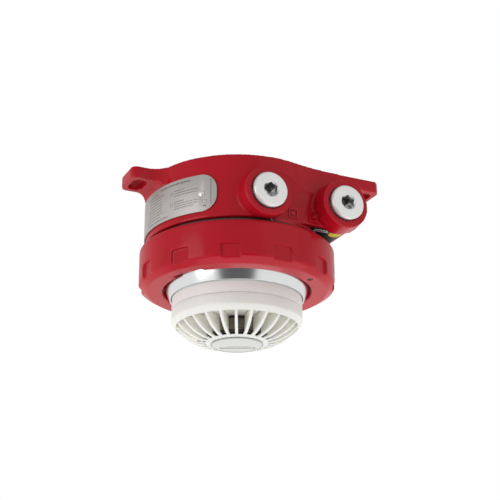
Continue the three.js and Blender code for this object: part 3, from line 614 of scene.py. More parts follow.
class DETECTOR_OT_materials(bpy.types.Operator):
    """Make the shared node groups and every finish"""
    bl_idname = "detector.materials"
    bl_label = "Make finishes"

    def execute(self, context):
        finish = context.scene.detector_finishes
        surface_skin_group()
        edge_wear_and_painted_light_group()
        turning_marks_group()
        fine_grain_group()
        enamel_finish(finish.paint)
        turned_metal("turned_aluminium", finish.aluminium, (0.16, 0.24), (1, 1, 70), 70.0, 0.06)
        plain_finish("plug_socket", (0.55, 0.55, 0.55), (0.05, 0.15), 1.0, drift=0.75, drift_scale=330.0)
        turned_metal("machined_neck", (0.62, 0.62, 0.62), (0.28, 0.42), (1, 1, 40), 60.0, 0.3)
        turned_metal("bright_nickel", finish.nickel, (0.16, 0.26), (1, 1, 1), 90.0, 0.08, 0.5)
        plain_finish("brushed_plate", finish.plate, (0.42, 0.5), 0.35, drift=0.05, bump=0.1)
        plastic_finish("white_plastic", finish.plastic, (0.36, 0.46))
        # A lighter, warmer copy of the white plastic: painted bounce light for the shaded gaps between the
        # fins.
        plastic_finish("cream_plastic", (0.95, 0.93, 0.84), (0.45, 0.55))
        plain_finish("label_film", (0.66, 0.67, 0.64), (0.30, 0.36), drift=0.02, bump=0.04)
        plain_finish("grey_ink", (0.17, 0.155, 0.15), (0.5, 0.6), drift=0.15, drift_scale=400)
        plain_finish("white_ink", (0.86, 0.86, 0.84), (0.5, 0.6), drift=0.08, drift_scale=400)
        plain_finish("yellow_ink", (0.72, 0.62, 0.02), (0.45, 0.55), drift=0.06, drift_scale=300)
        plain_finish("black_film", (0.012, 0.013, 0.015), (0.28, 0.4), drift=0.2, bump=0.05)
        plain_finish("seal_rubber", (0.05, 0.047, 0.047), (0.55, 0.7), drift=0.25, bump=0.25)
        plain_finish("black_steel", (0.05, 0.048, 0.046), (0.3, 0.42), 0.9, wear=(0.35, 0.34, 0.33))
        plain_finish("brass", (0.66, 0.46, 0.17), (0.2, 0.32), 1.0, wear=(0.8, 0.62, 0.3))
        plain_finish("green_board", (0.015, 0.12, 0.045), (0.25, 0.35), drift=0.2, drift_scale=200)
        plain_finish("grey_plastic", (0.24, 0.26, 0.27), (0.4, 0.5))
        plain_finish("black_plastic", (0.015, 0.015, 0.017), (0.45, 0.6))
        screen_finish()
        glassy("light_pipe", (0.62, 0.50, 0.36), 0.12, 0.45)
        glassy("bead_glass", (0.10, 0.05, 0.02), 0.1, 0.2)
        return {"FINISHED"}


SIDE_LUG_ANGLES = (180.0, 75.0)
SIDE_LUG = {"waist": -79, "tip": -92, "half": 14, "root_half": 29, "root_depth": 14.9, "slot_x": -83}
PLATE = {"front": -63.7, "back": -34.0, "end": 92.8, "slot_x": 83.5, "slot_y": -48.5}
ENTRIES = {"left": (-10.5, -31.7), "right": (53.0, -30.5)}
ENTRY_FACE_Y = -78.0
WIRE_WAY_ENDS = (-50, -25)     # where the way behind each entry ends, along Y
BLOCK_FOOT = -46               # underside of the entry block
GROOVE_FOOT = -50.2            # just below the foot of the painted wall
FLAT_Y = -64                   # flat on the wall between the entries
WALL_RADIUS = 70.8
EARTH = {"angle": 118, "radius": WALL_RADIUS, "height": -26, "lift": 4.4}


def slot_cutter(sizes, x, y):
    width, length = sizes.slot_width / 2, sizes.slot_length / 2
    outline = rounded(rectangle(x - width, x + width, y - length, y + length, width * 0.9), 8)
    return extruded("slot", outline, -20, 5)


def side_lug(sizes):
    """A lug along -X with its slot, running out of the wall in a wide and deep root."""
    waist, tip, half, root = SIDE_LUG["waist"], SIDE_LUG["tip"], SIDE_LUG["half"], SIDE_LUG["root_half"]
    front = [(-31, -root)] + bend((-62, -root), (-70, -half), (waist, -half)) + [(waist, -half)]
    front += bend((tip + 6, -half), (tip, -half), (tip, 6 - half)) + [(tip, 6 - half)]
    lug = extruded("lug", front + [(x, -y) for x, y in reversed(front)], -16, 0)
    depth, deep = sizes.lug_thickness, SIDE_LUG["root_depth"]
    side = [(-30, 0), (tip - 1, 0), (tip - 1, -depth)]
    side += bend((-78, -depth), (-71, -depth - 0.6), (-70, -deep)) + [(-70, -deep), (-30, -deep)]
    combined(lug, [spun(extruded("side", side, -40, 40), 90, "X")], "INTERSECT")
    return cut(lug, slot_cutter(sizes, SIDE_LUG["slot_x"], 0))


def right_plate(sizes):
    corner = sizes.lug_corner
    outline = rounded([
        (20, PLATE["front"], 0), (PLATE["end"], PLATE["front"], corner),
        (PLATE["end"], PLATE["back"], corner), (74, PLATE["back"], 12), (64, -22, 0), (40, -20, 0)], 8)
    plate = extruded("plate", outline, -sizes.lug_thickness, 0)
    return cut(plate, slot_cutter(sizes, PLATE["slot_x"], PLATE["slot_y"]))


def entry_block():
    section = rounded([(-20, -2, 0), (-20, BLOCK_FOOT, 0), (68, BLOCK_FOOT, 8), (68, -2, 0)], 6)
    return spun(extruded("block", section, 15, -FLAT_Y), 90, "X")


def entry_blend():
    """The hollow that leads the round wall into the front of the entry block."""
    outline = bend((14, -68.6), (33.7, -63.9), (56, -63.9)) + [(56, -63.9), (56, -58), (14, -58)]
    return extruded("blend", outline, BLOCK_FOOT, 0)


def entry_boss(sizes, side, x, z):
    """A cable entry boss; the right-hand one has a wider collar behind it."""
    boss = facing_entry(rod(sizes.boss_radius, 0, -17, 96), x, ENTRY_FACE_Y, z)
    if side == "right":
        collar = facing_entry(rod(sizes.step_radius, 0, -9, 96), x, -69.5, z)
        beside = block("beside", (x - 22, -72, -50), (x - 16.4, -58, -35.4))
        below = along_x(
            [(-90, BLOCK_FOOT), (-40, BLOCK_FOOT), (-40, -70), (-90, -70)], x - 30, x + 30)
        joined(boss, cut(collar, beside, below))
    return cut(boss, rod(71.1, -sizes.wall_depth, -80, ROUND))


def raised_square(x, z, side=7.2, rim=0.9, mark=1.4):
    """A raised square outline with a small mark in its middle, on the flat wall."""
    outer, inner = side / 2, side / 2 - rim
    square = block("square", (x - outer, FLAT_Y - 0.6, z - outer), (x + outer, FLAT_Y + 2, z + outer))
    cut(square, block("inner", (x - inner, -70, z - inner), (x + inner, FLAT_Y - 0.05, z + inner)))
    return joined(square, facing_entry(rod(mark, 0.5, -2), x, FLAT_Y, z))


def wall_relief():
    """What is taken off the wall between the entries: it runs down into a flat, with a groove below."""
    side = [(-90, -9)] + bend((-71.1, -9), (FLAT_Y, -20), (FLAT_Y, -29))
    side += [(FLAT_Y, -29), (FLAT_Y, GROOVE_FOOT), (-90, GROOVE_FOOT)]
    groove = along_x(
        [(-90, BLOCK_FOOT), (-15, BLOCK_FOOT), (-15, GROOVE_FOOT), (-90, GROOVE_FOOT)], -4, 68)
    return along_x(side, -4, 62), cut(groove, rod(66.5, -40, -60, ROUND))


def ridges(root, crest, z, end, pitch, rise, fall):
    """The corners of a thread from z down: one ridge per turn while z is above end, then its root."""
    corners = []
    while z > end:
        corners += [(root, z, 0), (crest, z - rise, 0), (crest, z - fall, 0)]
        z -= pitch
    return corners + [(root, z, 0)]


def neck_outline(sizes):
    """The machined neck below the wall: a relief groove, then the thread for the cover."""
    neck, pitch = sizes.neck_radius, sizes.thread_pitch
    top, foot = -sizes.wall_depth, cad_ends("enclosure_body")[1]
    inner, root = neck - 8, neck - 1.2
    return (
        [(inner, top + 3, 0), (neck, top + 3, 0), (neck, top - 3.4, 0), (root, top - 4, 0)]
        + ridges(root, neck - 0.1, top - 5.6, foot + 0.6 + pitch, pitch, pitch * 0.42, pitch * 0.58)
        + [(root, foot, 0.5), (inner, foot, 0)])


def cable_way(sizes, end):
    """A cable entry: spot face, chamfer, threaded bore and the narrower way to the inside."""
    thread, way, back = sizes.thread_radius, 9.8, ENTRY_FACE_Y - end
    return turned("entry", [
        (0, 3, 0), (14.2, 3, 0), (14.2, -0.7, 0.2), (13.4, -0.7, 0), (thread, -1.4, 0),
        (thread, -18, 0), (way, -18, 0), (way, back, 0), (0, back, 0)], 72)


def rivet_hole(node):
    return facing_out(rod(1.6, 6, -6), bearing(node), WALL_RADIUS, cad_middle(node).z)


class DETECTOR_OT_enclosure(bpy.types.Operator):
    """Cast enclosure with its lugs, entry bosses, cavity and threaded neck"""
    bl_idname = "detector.enclosure"
    bl_label = "Enclosure"

    def execute(self, context):
        sizes = context.scene.detector_enclosure
        depth, cavity = sizes.wall_depth, sizes.cavity_radius
        shell = revolved("enclosure", [
            (0, 0), (sizes.top_radius, 0), (sizes.foot_radius, -depth), (0, -depth)], 256)
        lugs = [spun(side_lug(sizes), angle - 180) for angle in SIDE_LUG_ANGLES]
        joined(shell, entry_block(), entry_blend(), right_plate(sizes), *lugs)
        cut(shell, *wall_relief())
        for side, (x, z) in ENTRIES.items():
            joined(shell, entry_boss(sizes, side, x, z))
        pad = turned("pad", [(0, EARTH["lift"], 0), (7.5, EARTH["lift"], 0), (9, -5, 0), (0, -5, 0)], 48)
        joined(shell, facing_out(pad, EARTH["angle"], EARTH["radius"], EARTH["height"]))
        softened(shell, sizes.cast_edge, 3, 0.4)
        joined(shell, raised_square(15.9, -39.5), raised_square(33.4, -39.5, mark=1.1))
        joined(shell, turned("neck", neck_outline(sizes), 192))

        cutters = [turned("cavity", [
            (0, -sizes.back, 0), (cavity, -sizes.back, 4), (cavity, -90, 0), (0, -90, 0)])]
        for (x, z), end in zip(ENTRIES.values(), WIRE_WAY_ENDS):
            cutters.append(facing_entry(cable_way(sizes, end), x, ENTRY_FACE_Y, z))
        cutters += [rivet_hole(f"nameplate_rivet_{side}") for side in ("left", "right")]
        cutters.append(facing_out(rod(2.3, 8, -9), EARTH["angle"], EARTH["radius"], EARTH["height"]))
        cutters += [over(node, rod(1.7, 6, -12), -68) for node in numbered("carrier_screw", 3)]
        cut(shell, *cutters)
        coats = ("red_enamel", "machined_neck")
        finished(shell, "housing", "red_paint", coats, "enclosure_body", smooth=40)
        for face in shell.data.polygons:
            middle = face.center / MM
            reach = math.hypot(middle.x, middle.y)
            inside = reach < cavity + 0.6 and middle.z < 0.5 - sizes.back
            below = middle.z < -depth - 0.4 and reach < sizes.neck_radius + 0.5
            gap = min(math.hypot(middle.x - x, middle.z - z) for x, z in ENTRIES.values())
            threaded = gap < sizes.thread_radius + 0.4 and middle.y < -45 and abs(middle.x) < 80
            face.material_index = 1 if inside or below or threaded else 0
        return {"FINISHED"}


POCKET_PHASE = 1.7
NOTCH_ANGLES = (207.5, 27.5)


class DETECTOR_OT_cover(bpy.types.Operator):
    """Threaded cover ring with its tool pockets, its lip and the notches in it"""
    bl_idname = "detector.cover"
    bl_label = "Cover ring"

    def execute(self, context):
        sizes = context.scene.detector_cover
        pitch = context.scene.detector_enclosure.thread_pitch
        outer, lip, root = cad_radius("cover_ring"), sizes.lip_radius, sizes.bore_radius
        top, foot = cad_ends("cover_ring")
        ring = turned("cover", [
            (lip, top, 0), (outer - 0.9, top, 0.6), (outer, top - 1.2, 1), (outer, foot + 3.7, 2.5),
            (outer - 6.3, foot, 2), (lip, foot, 0.6)], 256, 5)
        half = sizes.pocket_width / 2
        outline = rounded(rectangle(-half, half, top - 17.6, foot + 1.1, 1.6))
        pockets = []
        for i in range(sizes.pocket_count):
            pocket = turned_to_x(extruded("pocket", outline, outer - sizes.pocket_depth, outer + 5))
            pockets.append(spun(pocket, 360 / sizes.pocket_count * i + POCKET_PHASE))
        cut(ring, *pockets)
        notches = []
        for middle in NOTCH_ANGLES:
            arc = [polar(60.4, middle - 13 + 26 * k / 12) for k in range(13)]
            inner = [polar(52, middle + 14 - 28 * k / 6) for k in range(7)]
            notches.append(extruded("notch", arc + inner, foot - 3, top + 3))
        cut(ring, *notches)
        softened(ring, sizes.cast_edge, 2, 0.35)

        bore = [(0, top + 2, 0), (root + 0.4, top + 2, 0), (root, top - 0.6, 0)]
        bore += ridges(
            root, root + 1.1, top - 2, sizes.lip_top + 1 + pitch, pitch, pitch * 0.42, pitch * 0.58)
        bore += [(root, sizes.lip_top, 0), (0, sizes.lip_top, 0)]
        lock = turned("hole", [
            (0, 12, 0), (2.3, 12, 0), (2.3, 0.6, 0), (3.0, 0, 0), (3.0, -3, 0), (0, -3, 0)], 32)
        cut(ring, turned("bore", bore, 192), over("cover_set_screw", lock, foot))
        finished(ring, "cover", "red_paint", ("red_enamel", "machined_neck"), "cover_ring", smooth=40)
        for face in ring.data.polygons:
            middle = face.center / MM
            reach = math.hypot(middle.x, middle.y)
            threaded = root - 0.6 < reach < root + 1.7 and sizes.lip_top + 0.1 < middle.z < top - 0.4
            face.material_index = 1 if threaded else 0
        return {"FINISHED"}


class DETECTOR_OT_seals(bpy.types.Operator):
    """Rubber cover seal and the two washers under the plugs"""
    bl_idname = "detector.seals"
    bl_label = "Seals"

    def execute(self, context):
        top, foot = cad_ends("cover_seal_ring")
        half = (top - foot) / 2
        radius = cad_radius("cover_seal_ring") - half * 1.15
        section = [polar(half * 1.12, 360 * k / 20) for k in range(20)]
        seal = revolved("cover_seal", [(radius + out, (top + foot) / 2 + up) for out, up in section])
        finished(seal, "cover_travel", "black_rubber", "seal_rubber", "cover_seal_ring", smooth=60)
        for side in ENTRIES:
            node = f"entry_plug_washer_{side}"
            washer = turned(f"plug_washer_{side}", [
                (12.2, 0.5, 0.2), (13.1, 0.5, 0.3), (13.1, -0.5, 0.3), (12.2, -0.5, 0.2)], 96)
            facing_entry(washer, *cad_middle(node))
            finished(washer, f"{side}_plug_travel", "black_rubber", "seal_rubber", node)
        return {"FINISHED"}


def hexagon(across):
    return [polar(across / math.sqrt(3), 60 * k + 30) for k in range(6)]


PLUG_LENGTH = 14.0


class DETECTOR_OT_plugs(bpy.types.Operator):
    """Nickel-plated stopping plugs with chamfered flanges and hexagon sockets"""
    bl_idname = "detector.plugs"
    bl_label = "Stopping plugs"

    def execute(self, context):
        thread = ridges(11.2, 11.9, -1.6, -12, 1.5, 0.6, 0.85)
        for side, (x, z) in ENTRIES.items():
            node = f"entry_plug_{side}"
            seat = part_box(node)[1].y / MM - PLUG_LENGTH
            plug = turned(f"stopping_plug_{side}", [
                (0, 3.1, 0), (12.5, 3.1, 0.3), (13.3, 2.3, 0.3), (13.3, 0, 0.4), (11.2, 0, 0),
                (11.2, -1.4, 0), *thread, (10.6, -PLUG_LENGTH, 0), (0, -PLUG_LENGTH, 0)], 128)
            mouth = turned("mouth", [(0, 8, 0), (11, 8, 0), (6.4, 3.4, 0), (5.0, 2.0, 0), (0, 2.0, 0)], 64)
            cut(plug, extruded("socket", hexagon(10), -4.4, 8), mouth)
            facing_entry(plug, x, seat, z)
            finished(plug, f"{side}_plug", "nickel", ("bright_nickel", "plug_socket"), node, smooth=30)
            for face in plug.data.polygons:
                middle = face.center / MM
                inside = math.hypot(middle.x - x, middle.z - z) < 5.9
                face.material_index = 1 if inside and seat - 1.9 < middle.y < seat + 6 else 0
        return {"FINISHED"}


NAMEPLATE_ENDS = (138.0, 233.5)
NAMEPLATE_PARTS = 60           # flat parts that follow the bend
PLATE_FACE = 71.8
PLATE_BACK = 71.0


def wrapped_bar(bm, start, end, low, high):
    """A flat bar of print that follows the curved plate, between two angles and two heights."""
    steps = max(1, int((end - start) / 2.0))
    rings = []
    for k in range(steps + 1):
        angle = start + (end - start) * k / steps
        column = []
        for radius in (PLATE_FACE - 0.02, PLATE_FACE + 0.05):
            x, y = polar(radius * MM, angle)
            column += [bm.verts.new((x, y, z * MM)) for z in (low, high)]
        rings.append(column)
    for a, b in zip(rings, rings[1:]):
        for i, j in ((0, 1), (1, 3), (3, 2), (2, 0)):
            bm.faces.new((a[i], a[j], b[j], b[i]))
    bm.faces.new([rings[0][i] for i in (0, 2, 3, 1)])
    bm.faces.new([rings[-1][i] for i in (1, 3, 2, 0)])


def print_line(bm, draw, start, end, z, height):
    """A row of short dashes between two angles, like small print seen from far away."""
    angle = start
    while angle < end:
        width = draw.uniform(0.5, 1.7)
        wrapped_bar(bm, angle, min(angle + width, end), z - height / 2, z + height / 2)
        angle += width + draw.uniform(0.3, 0.6)


def hollow_mark(bm, angle, z, size, thin=0.22):
    """A small open square, in place of any sign."""
    half = size / 2
    inner = half - thin
    spread, edge = math.degrees(half / PLATE_FACE), math.degrees(thin / PLATE_FACE)
    left, right = angle - spread, angle + spread
    wrapped_bar(bm, left, right, z + inner, z + half)
    wrapped_bar(bm, left, right, z - half, z - inner)
    wrapped_bar(bm, left, left + edge, z - inner, z + inner)
    wrapped_bar(bm, right - edge, right, z - inner, z + inner)


def bent_plate():
    """The nameplate: a flat outline, cut into narrow parts, thickened and bent round the wall."""
    top, foot = cad_ends("nameplate")
    start, end = NAMEPLATE_ENDS
    length = math.radians(end - start) * PLATE_FACE
    bm = bmesh.new()
    outline = rounded(rectangle(-length / 2, length / 2, foot, top, 12.0), 14)
    bm.faces.new([bm.verts.new((x, z, 0)) for x, z in outline])
    for k in range(1, NAMEPLATE_PARTS):
        place = (-length / 2 + length * k / NAMEPLATE_PARTS, 0, 0)
        bmesh.ops.bisect_plane(
            bm, geom=bm.verts[:] + bm.edges[:] + bm.faces[:], plane_co=place, plane_no=(1, 0, 0))
    made = bmesh.ops.extrude_face_region(bm, geom=bm.faces[:])
    lifted = {part for part in made["geom"] if isinstance(part, bmesh.types.BMVert)}
    for vert in bm.verts:
        radius = PLATE_FACE if vert in lifted else PLATE_BACK
        x, y = polar(radius * MM, (start + end) / 2 + math.degrees(vert.co.x / PLATE_FACE))
        vert.co = (x, y, vert.co.y * MM)
    return piece_from(bm, "name_plate")


def plate_print():
    """Generic print on the nameplate: rows of dashes, open squares and bars."""
    draw = random.Random(7)
    ink = bmesh.new()
    for z, right in ((-23.6, 213), (-25.6, 222), (-27.6, 221.5), (-32.4, 213), (-34.3, 222.5), (-36.2, 222),
                     (-38.0, 219)):
        print_line(ink, draw, 205.6, right, z, 0.62)
    for angle, z, size in ((203.2, -25.2, 2.6), (203.2, -33.8, 2.6), (226.2, -36.6, 3.0)):
        hollow_mark(ink, angle, z, size)
    wrapped_bar(ink, 225.2, 227.2, -40.6, -39.6)
    for k in range(13):
        wrapped_bar(ink, 229.7, 230.4, -20.3 - 1.55 * k, -19.4 - 1.55 * k)
    for row in range(9):
        left, right = 176 + draw.uniform(0, 5), 190 + draw.uniform(0, 9)
        print_line(ink, draw, left, right, -20.5 - 2.3 * row, 0.6)
    print_line(ink, draw, 193, 217, -18.2, 1.2)
    print_line(ink, draw, 178, 200, -41.6, 0.8)
    return piece_from(ink, "name_plate_print")


class DETECTOR_OT_nameplate(bpy.types.Operator):
    """Brushed plate bent round the wall, its generic print and its two rivets"""
    bl_idname = "detector.nameplate"
    bl_label = "Nameplate"

    def execute(self, context):
        rivets = {side: f"nameplate_rivet_{side}" for side in ("left", "right")}
        plate = cut(bent_plate(), *(rivet_hole(node) for node in rivets.values()))
        eased(plate, 0.18, 2, 50)
        finished(plate, "housing", "brushed_plate", "brushed_plate", "nameplate", smooth=30)
        finished(plate_print(), "housing", "brushed_plate", "grey_ink", smooth=0)
        for side, node in rivets.items():
            rivet = turned(f"plate_rivet_{side}", [
                (0, 1.15, 0), (1.2, 1.05, 1), (2.3, 0.5, 0.8), (2.55, 0, 0.1), (1.3, 0, 0), (1.3, -4, 0),
                (0, -4, 0)], SMALL_ROUND)
            facing_out(rivet, bearing(node), PLATE_FACE + 0.1, cad_middle(node).z)
            finished(rivet, "housing", "nickel", "bright_nickel", node, smooth=60)
        return {"FINISHED"}


def dashes(draw, start, end, widths, gap, low, high):
    """A row of blocks of print along X, between the corners (y, z) given."""
    row = []
    x = start
    while x < end:
        width = draw.uniform(*widths)
        row.append(block("dash", (x, *low), (x + width, *high)))
        x += width + gap
    return row


def as_one(name, pieces):
    first, *rest = pieces
    first.name = name
    return joined(first, *rest)


class DETECTOR_OT_tag(bpy.types.Operator):
    """Black tag under the entry block, with generic marks"""
    bl_idname = "detector.tag"
    bl_label = "Underside tag"

    def execute(self, context):
        low, high = (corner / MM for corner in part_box("underside_tag"))
        outline = rounded(rectangle(low.x, high.x, low.y, high.y, 1.5), 5)
        tag = cut(extruded("entry_tag", outline, low.z, high.z), rod(66.8, high.z + 3, high.z - 5, ROUND))
        finished(tag, "housing", "black_tag", "black_film", "underside_tag")

        face = low.z
        turns = (2 * math.pi * k / 40 for k in range(40))
        oval = [(55.4 + 4.9 * math.cos(turn), -55.8 + 5.0 * math.sin(turn)) for turn in turns]
        spot = extruded("tag_oval", oval, face - 0.06, face + 0.02)
        finished(spot, "housing", "black_tag", "yellow_ink", smooth=0)
        draw = random.Random(3)
        rows = []
        for y in (low.y + 1.2, low.y + 3.8):
            rows += dashes(draw, low.x + 2.5, 48, (1.0, 2.6), 0.6, (y, face - 0.05), (y + 1.4, face + 0.02))
        finished(as_one("tag_print", rows), "housing", "black_tag", "white_ink", smooth=0)
        return {"FINISHED"}


class DETECTOR_OT_carrier(bpy.types.Operator):
    """Turned aluminium carrier between the cover ring and the head"""
    bl_idname = "detector.carrier"
    bl_label = "Carrier"

    def execute(self, context):
        top, foot = cad_ends("carrier_ring")
        flange, shoulder = cad_radius("carrier_ring"), top - 7.6
        carrier = turned("carrier", [
            (50, top, 0.4), (flange, top, 0.5), (flange, shoulder, 0.5), (55.9, shoulder, 0),
            (55.9, -79.4, 2),
            (51.3, foot, 0.35), (50.3, foot, 0.3), (50.2, -84, 0.3), (10, -84, 0.4), (10, -80, 0.4),
            (50, -80, 0.4)], 256)
        cutters = []
        for node in numbered("carrier_screw", 3):
            hole = turned("hole", [
                (0, 3, 0), (1.7, 3, 0), (1.7, -4.6, 0), (2.9, -4.6, 0), (2.9, -9, 0), (0, -9, 0)], 32)
            cutters.append(over(node, hole, top))
        cutters += [over(node, rod(2.2, 3, -16, 32), foot + 12) for node in numbered("base_screw", 2)]
        cut(carrier, *cutters)
        finished(carrier, "housing", "aluminium", "turned_aluminium", "carrier_ring", smooth=30)
        return {"FINISHED"}


class DETECTOR_OT_base(bpy.types.Operator):
    """White detector base in the carrier's recess"""
    bl_idname = "detector.base"
    bl_label = "Detector base"

    def execute(self, context):
        top, foot = cad_ends("detector_base")
        radius, skirt = cad_radius("detector_base"), foot - 0.9
        base = turned("head_base", [
            (9, top, 0.3), (radius, top, 1), (radius, skirt, 0.06), (radius - 2.4, skirt, 0.5),
            (radius - 2.4, top - 3, 0.8), (9, top - 3, 0.3)], 256)
        cut(base, *(over(node, rod(2.2, 3, -6, 32), top) for node in numbered("base_screw", 2)))
        finished(base, "housing", "white_plastic", "white_plastic", "detector_base", smooth=30)
        return {"FINISHED"}


DOME = [(49.6, -108.0), (47, -111.2), (43, -115.3), (38, -119), (32, -122), (26, -123.8), (18, -124.4)]
HEAD_RADIUS = 49.6
FIN_PHASE = 244.4
GRIP_SECTORS = ((218, 255), (338, 375), (458, 495))
PIPE_X, PIPE_Y = polar(29.0, 165.2)
PIPE_WAY = 1.9


def dome_curve(steps=6):
    """The head's lower outline as a smooth curve through its driving points."""
    points = [Vector(point) for point in DOME]
    last = len(points) - 1
    curve = []
    for i in range(last):
        before, after = points[max(i - 1, 0)], points[min(i + 2, last)]
        first, second = points[i], points[i + 1]
        slope = second - before
        curl = 2 * before - 5 * first + 4 * second - after
        twist = 3 * first - before - 3 * second + after
        for k in range(steps):
            t = k / steps
            curve.append(0.5 * ((2 * first) + slope * t + curl * t * t + twist * t ** 3))
    return curve + [points[-1]]


def head_fin(sizes, curve):
    """One fin: its outer edge follows the dome, and its section thins towards the inside."""
    outline = [(27, -109.3), (48.2, -109.3), (48.2, -109.9)]
    outline += [(point.x - 0.15, point.y + 0.08) for point in curve if 24 < point.x < 47.6]
    outline += [(22.4, -123.9), (22.4, -122.95), (27, -121.45)]
    half = sizes.fin_thickness / 2
    fin = eased(extruded("fin", outline, -half, half), half * 0.62, 3, 60)
    for vert in fin.data.vertices:
        inward = min(1.0, max(0.0, (vert.co.y / MM + 118) / 11))
        vert.co.z *= 1.0 - 0.28 * inward
    return spun(fin, 90, "X")


class DETECTOR_OT_head(bpy.types.Operator):
    """White head shell: a ribbed wall, a ring of fins and the disc in the middle"""
    bl_idname = "detector.head"
    bl_label = "Head shell"

    def execute(self, context):
        sizes = context.scene.detector_head
        curve = dome_curve()
        top = cad_ends("head_shell")[0] - 0.7
        wall = [
            (47.4, top, 0.3), (49.5, top, 0.05), (HEAD_RADIUS, top - 0.1, 0.05), (HEAD_RADIUS, -107.6, 0.6)]
        rim = [(point.x, point.y, 0) for point in curve if 46.4 < point.x < 49.5]
        inner = [(46, -110.6, 0.3), (46.6, -107.4, 0.3), (47.4, -107.2, 0)]
        shell = turned("sensing_head", wall + rim + inner, 256)
        edge = sizes.disc_radius
        lower = [(point.x, point.y, 0) for point in curve if point.x < edge - 0.5]
        parts = [turned("face", [
            (0, -123, 0), (edge, -123, 0.2), (edge, -123.85, 0.3), *lower, (0, -124.6, 0)], 192)]
        for i in range(sizes.fin_count):
            parts.append(spun(head_fin(sizes, curve), FIN_PHASE + 360 / sizes.fin_count * i))
        boss = turned("pipe_boss", [
            (0, -115.4, 0), (2.8, -115.4, 0.2), (2.9, -123.2, 0.6), (0, -123.4, 0)], SMALL_ROUND)
        joined(shell, *parts, shifted(boss, PIPE_X, PIPE_Y, 0))
        ribs = []
        for angle, last in GRIP_SECTORS:
            while angle < last:
                rib = turned("rib", [
                    (0, top - 0.9, 0), (0.36, top - 1.3, 0), (0.36, -106.2, 0), (0, -106.8, 0)], 8)
                ribs.append(shifted(rib, *polar(HEAD_RADIUS - 0.02, angle), 0))
                angle += math.degrees(sizes.grip_pitch / HEAD_RADIUS)
        joined(shell, *ribs)
        cut(shell, shifted(rod(PIPE_WAY, -100, -130, 40), PIPE_X, PIPE_Y, 0))
        finished(shell, "head", "white_plastic", "white_plastic", "head_shell", smooth=32)
        return {"FINISHED"}


class DETECTOR_OT_head_inside(bpy.types.Operator):
    """Inner plate, insect screen, collar, board and studs of the head"""
    bl_idname = "detector.head_inside"
    bl_label = "Inside of the head"

    def execute(self, context):
        plate = turned("inner_plate", [
            (0, -107.2, 0), (43.4, -107.2, 0.5), (43.4, -104.2, 0.3), (47, -104.2, 0.4), (47, -106.0, 0.4),
            (45.2, -106.0, 0.3), (45.2, -109.0, 0.8), (0, -109.0, 0)], 192)
        holes = [over(node, rod(1.8, -100, -112, 32)) for node in numbered("thermistor", 2)]
        cut(plate, shifted(rod(PIPE_WAY, -100, -112, 32), PIPE_X, PIPE_Y, 0), *holes)
        # The inner plate takes the lighter, warmer copy of the white plastic: painted bounce light between
        # the fins.
        finished(plate, "head", "white_plastic", "cream_plastic", "head_inner_plate")

        radius = cad_radius("insect_screen")
        top, foot = cad_ends("insect_screen")
        screen = turned("screen", [
            (radius - 0.5, top, 0), (radius, top, 0.1), (radius, top - 1.6, 0), (radius - 0.3, top - 1.8, 0),
            (radius - 0.3, foot + 2.6, 0), (radius, foot + 2.4, 0), (radius, foot, 0.1),
            (radius - 0.5, foot, 0)], 192)
        finished(screen, "head", "brown_screen", ("steel_screen", "black_steel", "grey_plastic"),
                 "insect_screen", smooth=30)
        for face in screen.data.polygons:
            z = face.center.z / MM
            if z > top - 1.8:
                face.material_index = 1
            elif z < foot + 2.6:
                face.material_index = 2 if z > foot + 1.3 else 1

        collar = turned("bayonet_collar", [
            (44.4, -95, 0.4), (46.6, -95, 0.5), (46.6, -103.6, 0.3), (44.4, -103.6, 0.3)], 192)
        finished(collar, "head_travel", "white_plastic", "white_plastic", "head_collar", smooth=30)
        board = turned("sensor_board", [
            (0, -101.6, 0), (44, -101.6, 0.15), (44, -103.2, 0.15), (0, -103.2, 0)], 128)
        finished(board, "head", "green_board", "green_board", "head_board")
        for node, name in zip(numbered("head_contact_stud", 4), numbered("contact_stud", 4)):
            high, low = cad_ends(node)
            stud = turned(name, [
                (0, high, 0), (1.6, high - 0.2, 0.6), (2, high - 1.2, 0.5), (2, low, 0.1),
                (0, low, 0)], SMALL_ROUND)
            finished(over(node, stud), "head", "brass", "brass", node, smooth=50)
        return {"FINISHED"}


class DETECTOR_OT_head_details(bpy.types.Operator):
    """Printed disc, light pipe and thermistor beads"""
    bl_idname = "detector.head_details"
    bl_label = "Head details"

    def execute(self, context):
        radius = cad_radius("head_label")
        top, foot = cad_ends("head_label")
        label = turned("face_label", [
            (0, top, 0), (radius, top, 0.1), (radius, foot + 0.1, 0.1), (0, foot, 0)], 128)
        finished(label, "head", "white_label", "label_film", "head_label")
        ring = turned("label_ring", rectangle(radius - 0.15, radius - 0.4, foot - 0.02, foot + 0.2), 128)
        finished(ring, "head", "white_label", "grey_ink", smooth=0)
        draw = random.Random(11)
        low, high = foot - 0.03, foot + 0.15
        rows = dashes(draw, -13, 13, (1.0, 2.0), 0.45, (6.2, low), (8.2, high))
        rows += dashes(draw, -7, 9, (0.6, 1.2), 0.45, (2.8, low), (3.6, high))
        finished(spun(as_one("label_print", rows), -25), "head", "white_label", "grey_ink", smooth=0)

        high, low = cad_ends("led_light_pipe")
        pipe = turned("light_pipe", [
            (0, high, 0), (1.6, high, 0.1), (1.6, low + 0.7, 0.5), (0.9, low + 0.05, 0.6),
            (0, low, 0)], SMALL_ROUND)
        shifted(pipe, PIPE_X, PIPE_Y, 0)
        finished(pipe, "head", "clear_plastic", "light_pipe", "led_light_pipe", smooth=60)
        for node, name in zip(numbered("thermistor", 2), numbered("bead", 2)):
            high, low = cad_ends(node)
            bead = turned(name, [
                (0, low + 3.5, 0), (0.8, low + 3.0, 0.4), (1.3, low + 1.6, 0.8), (1.0, low + 0.35, 0.5),
                (0, low, 0)], 32)
            joined(bead, *(shifted(rod(0.32, high, low + 1.5, 12), x, 0, 0) for x in (-0.65, 0.65)))
            over(node, spun(bead, bearing(node)))
            finished(bead, "head", "bead_glass", "bead_glass", node, smooth=50)
        return {"FINISHED"}


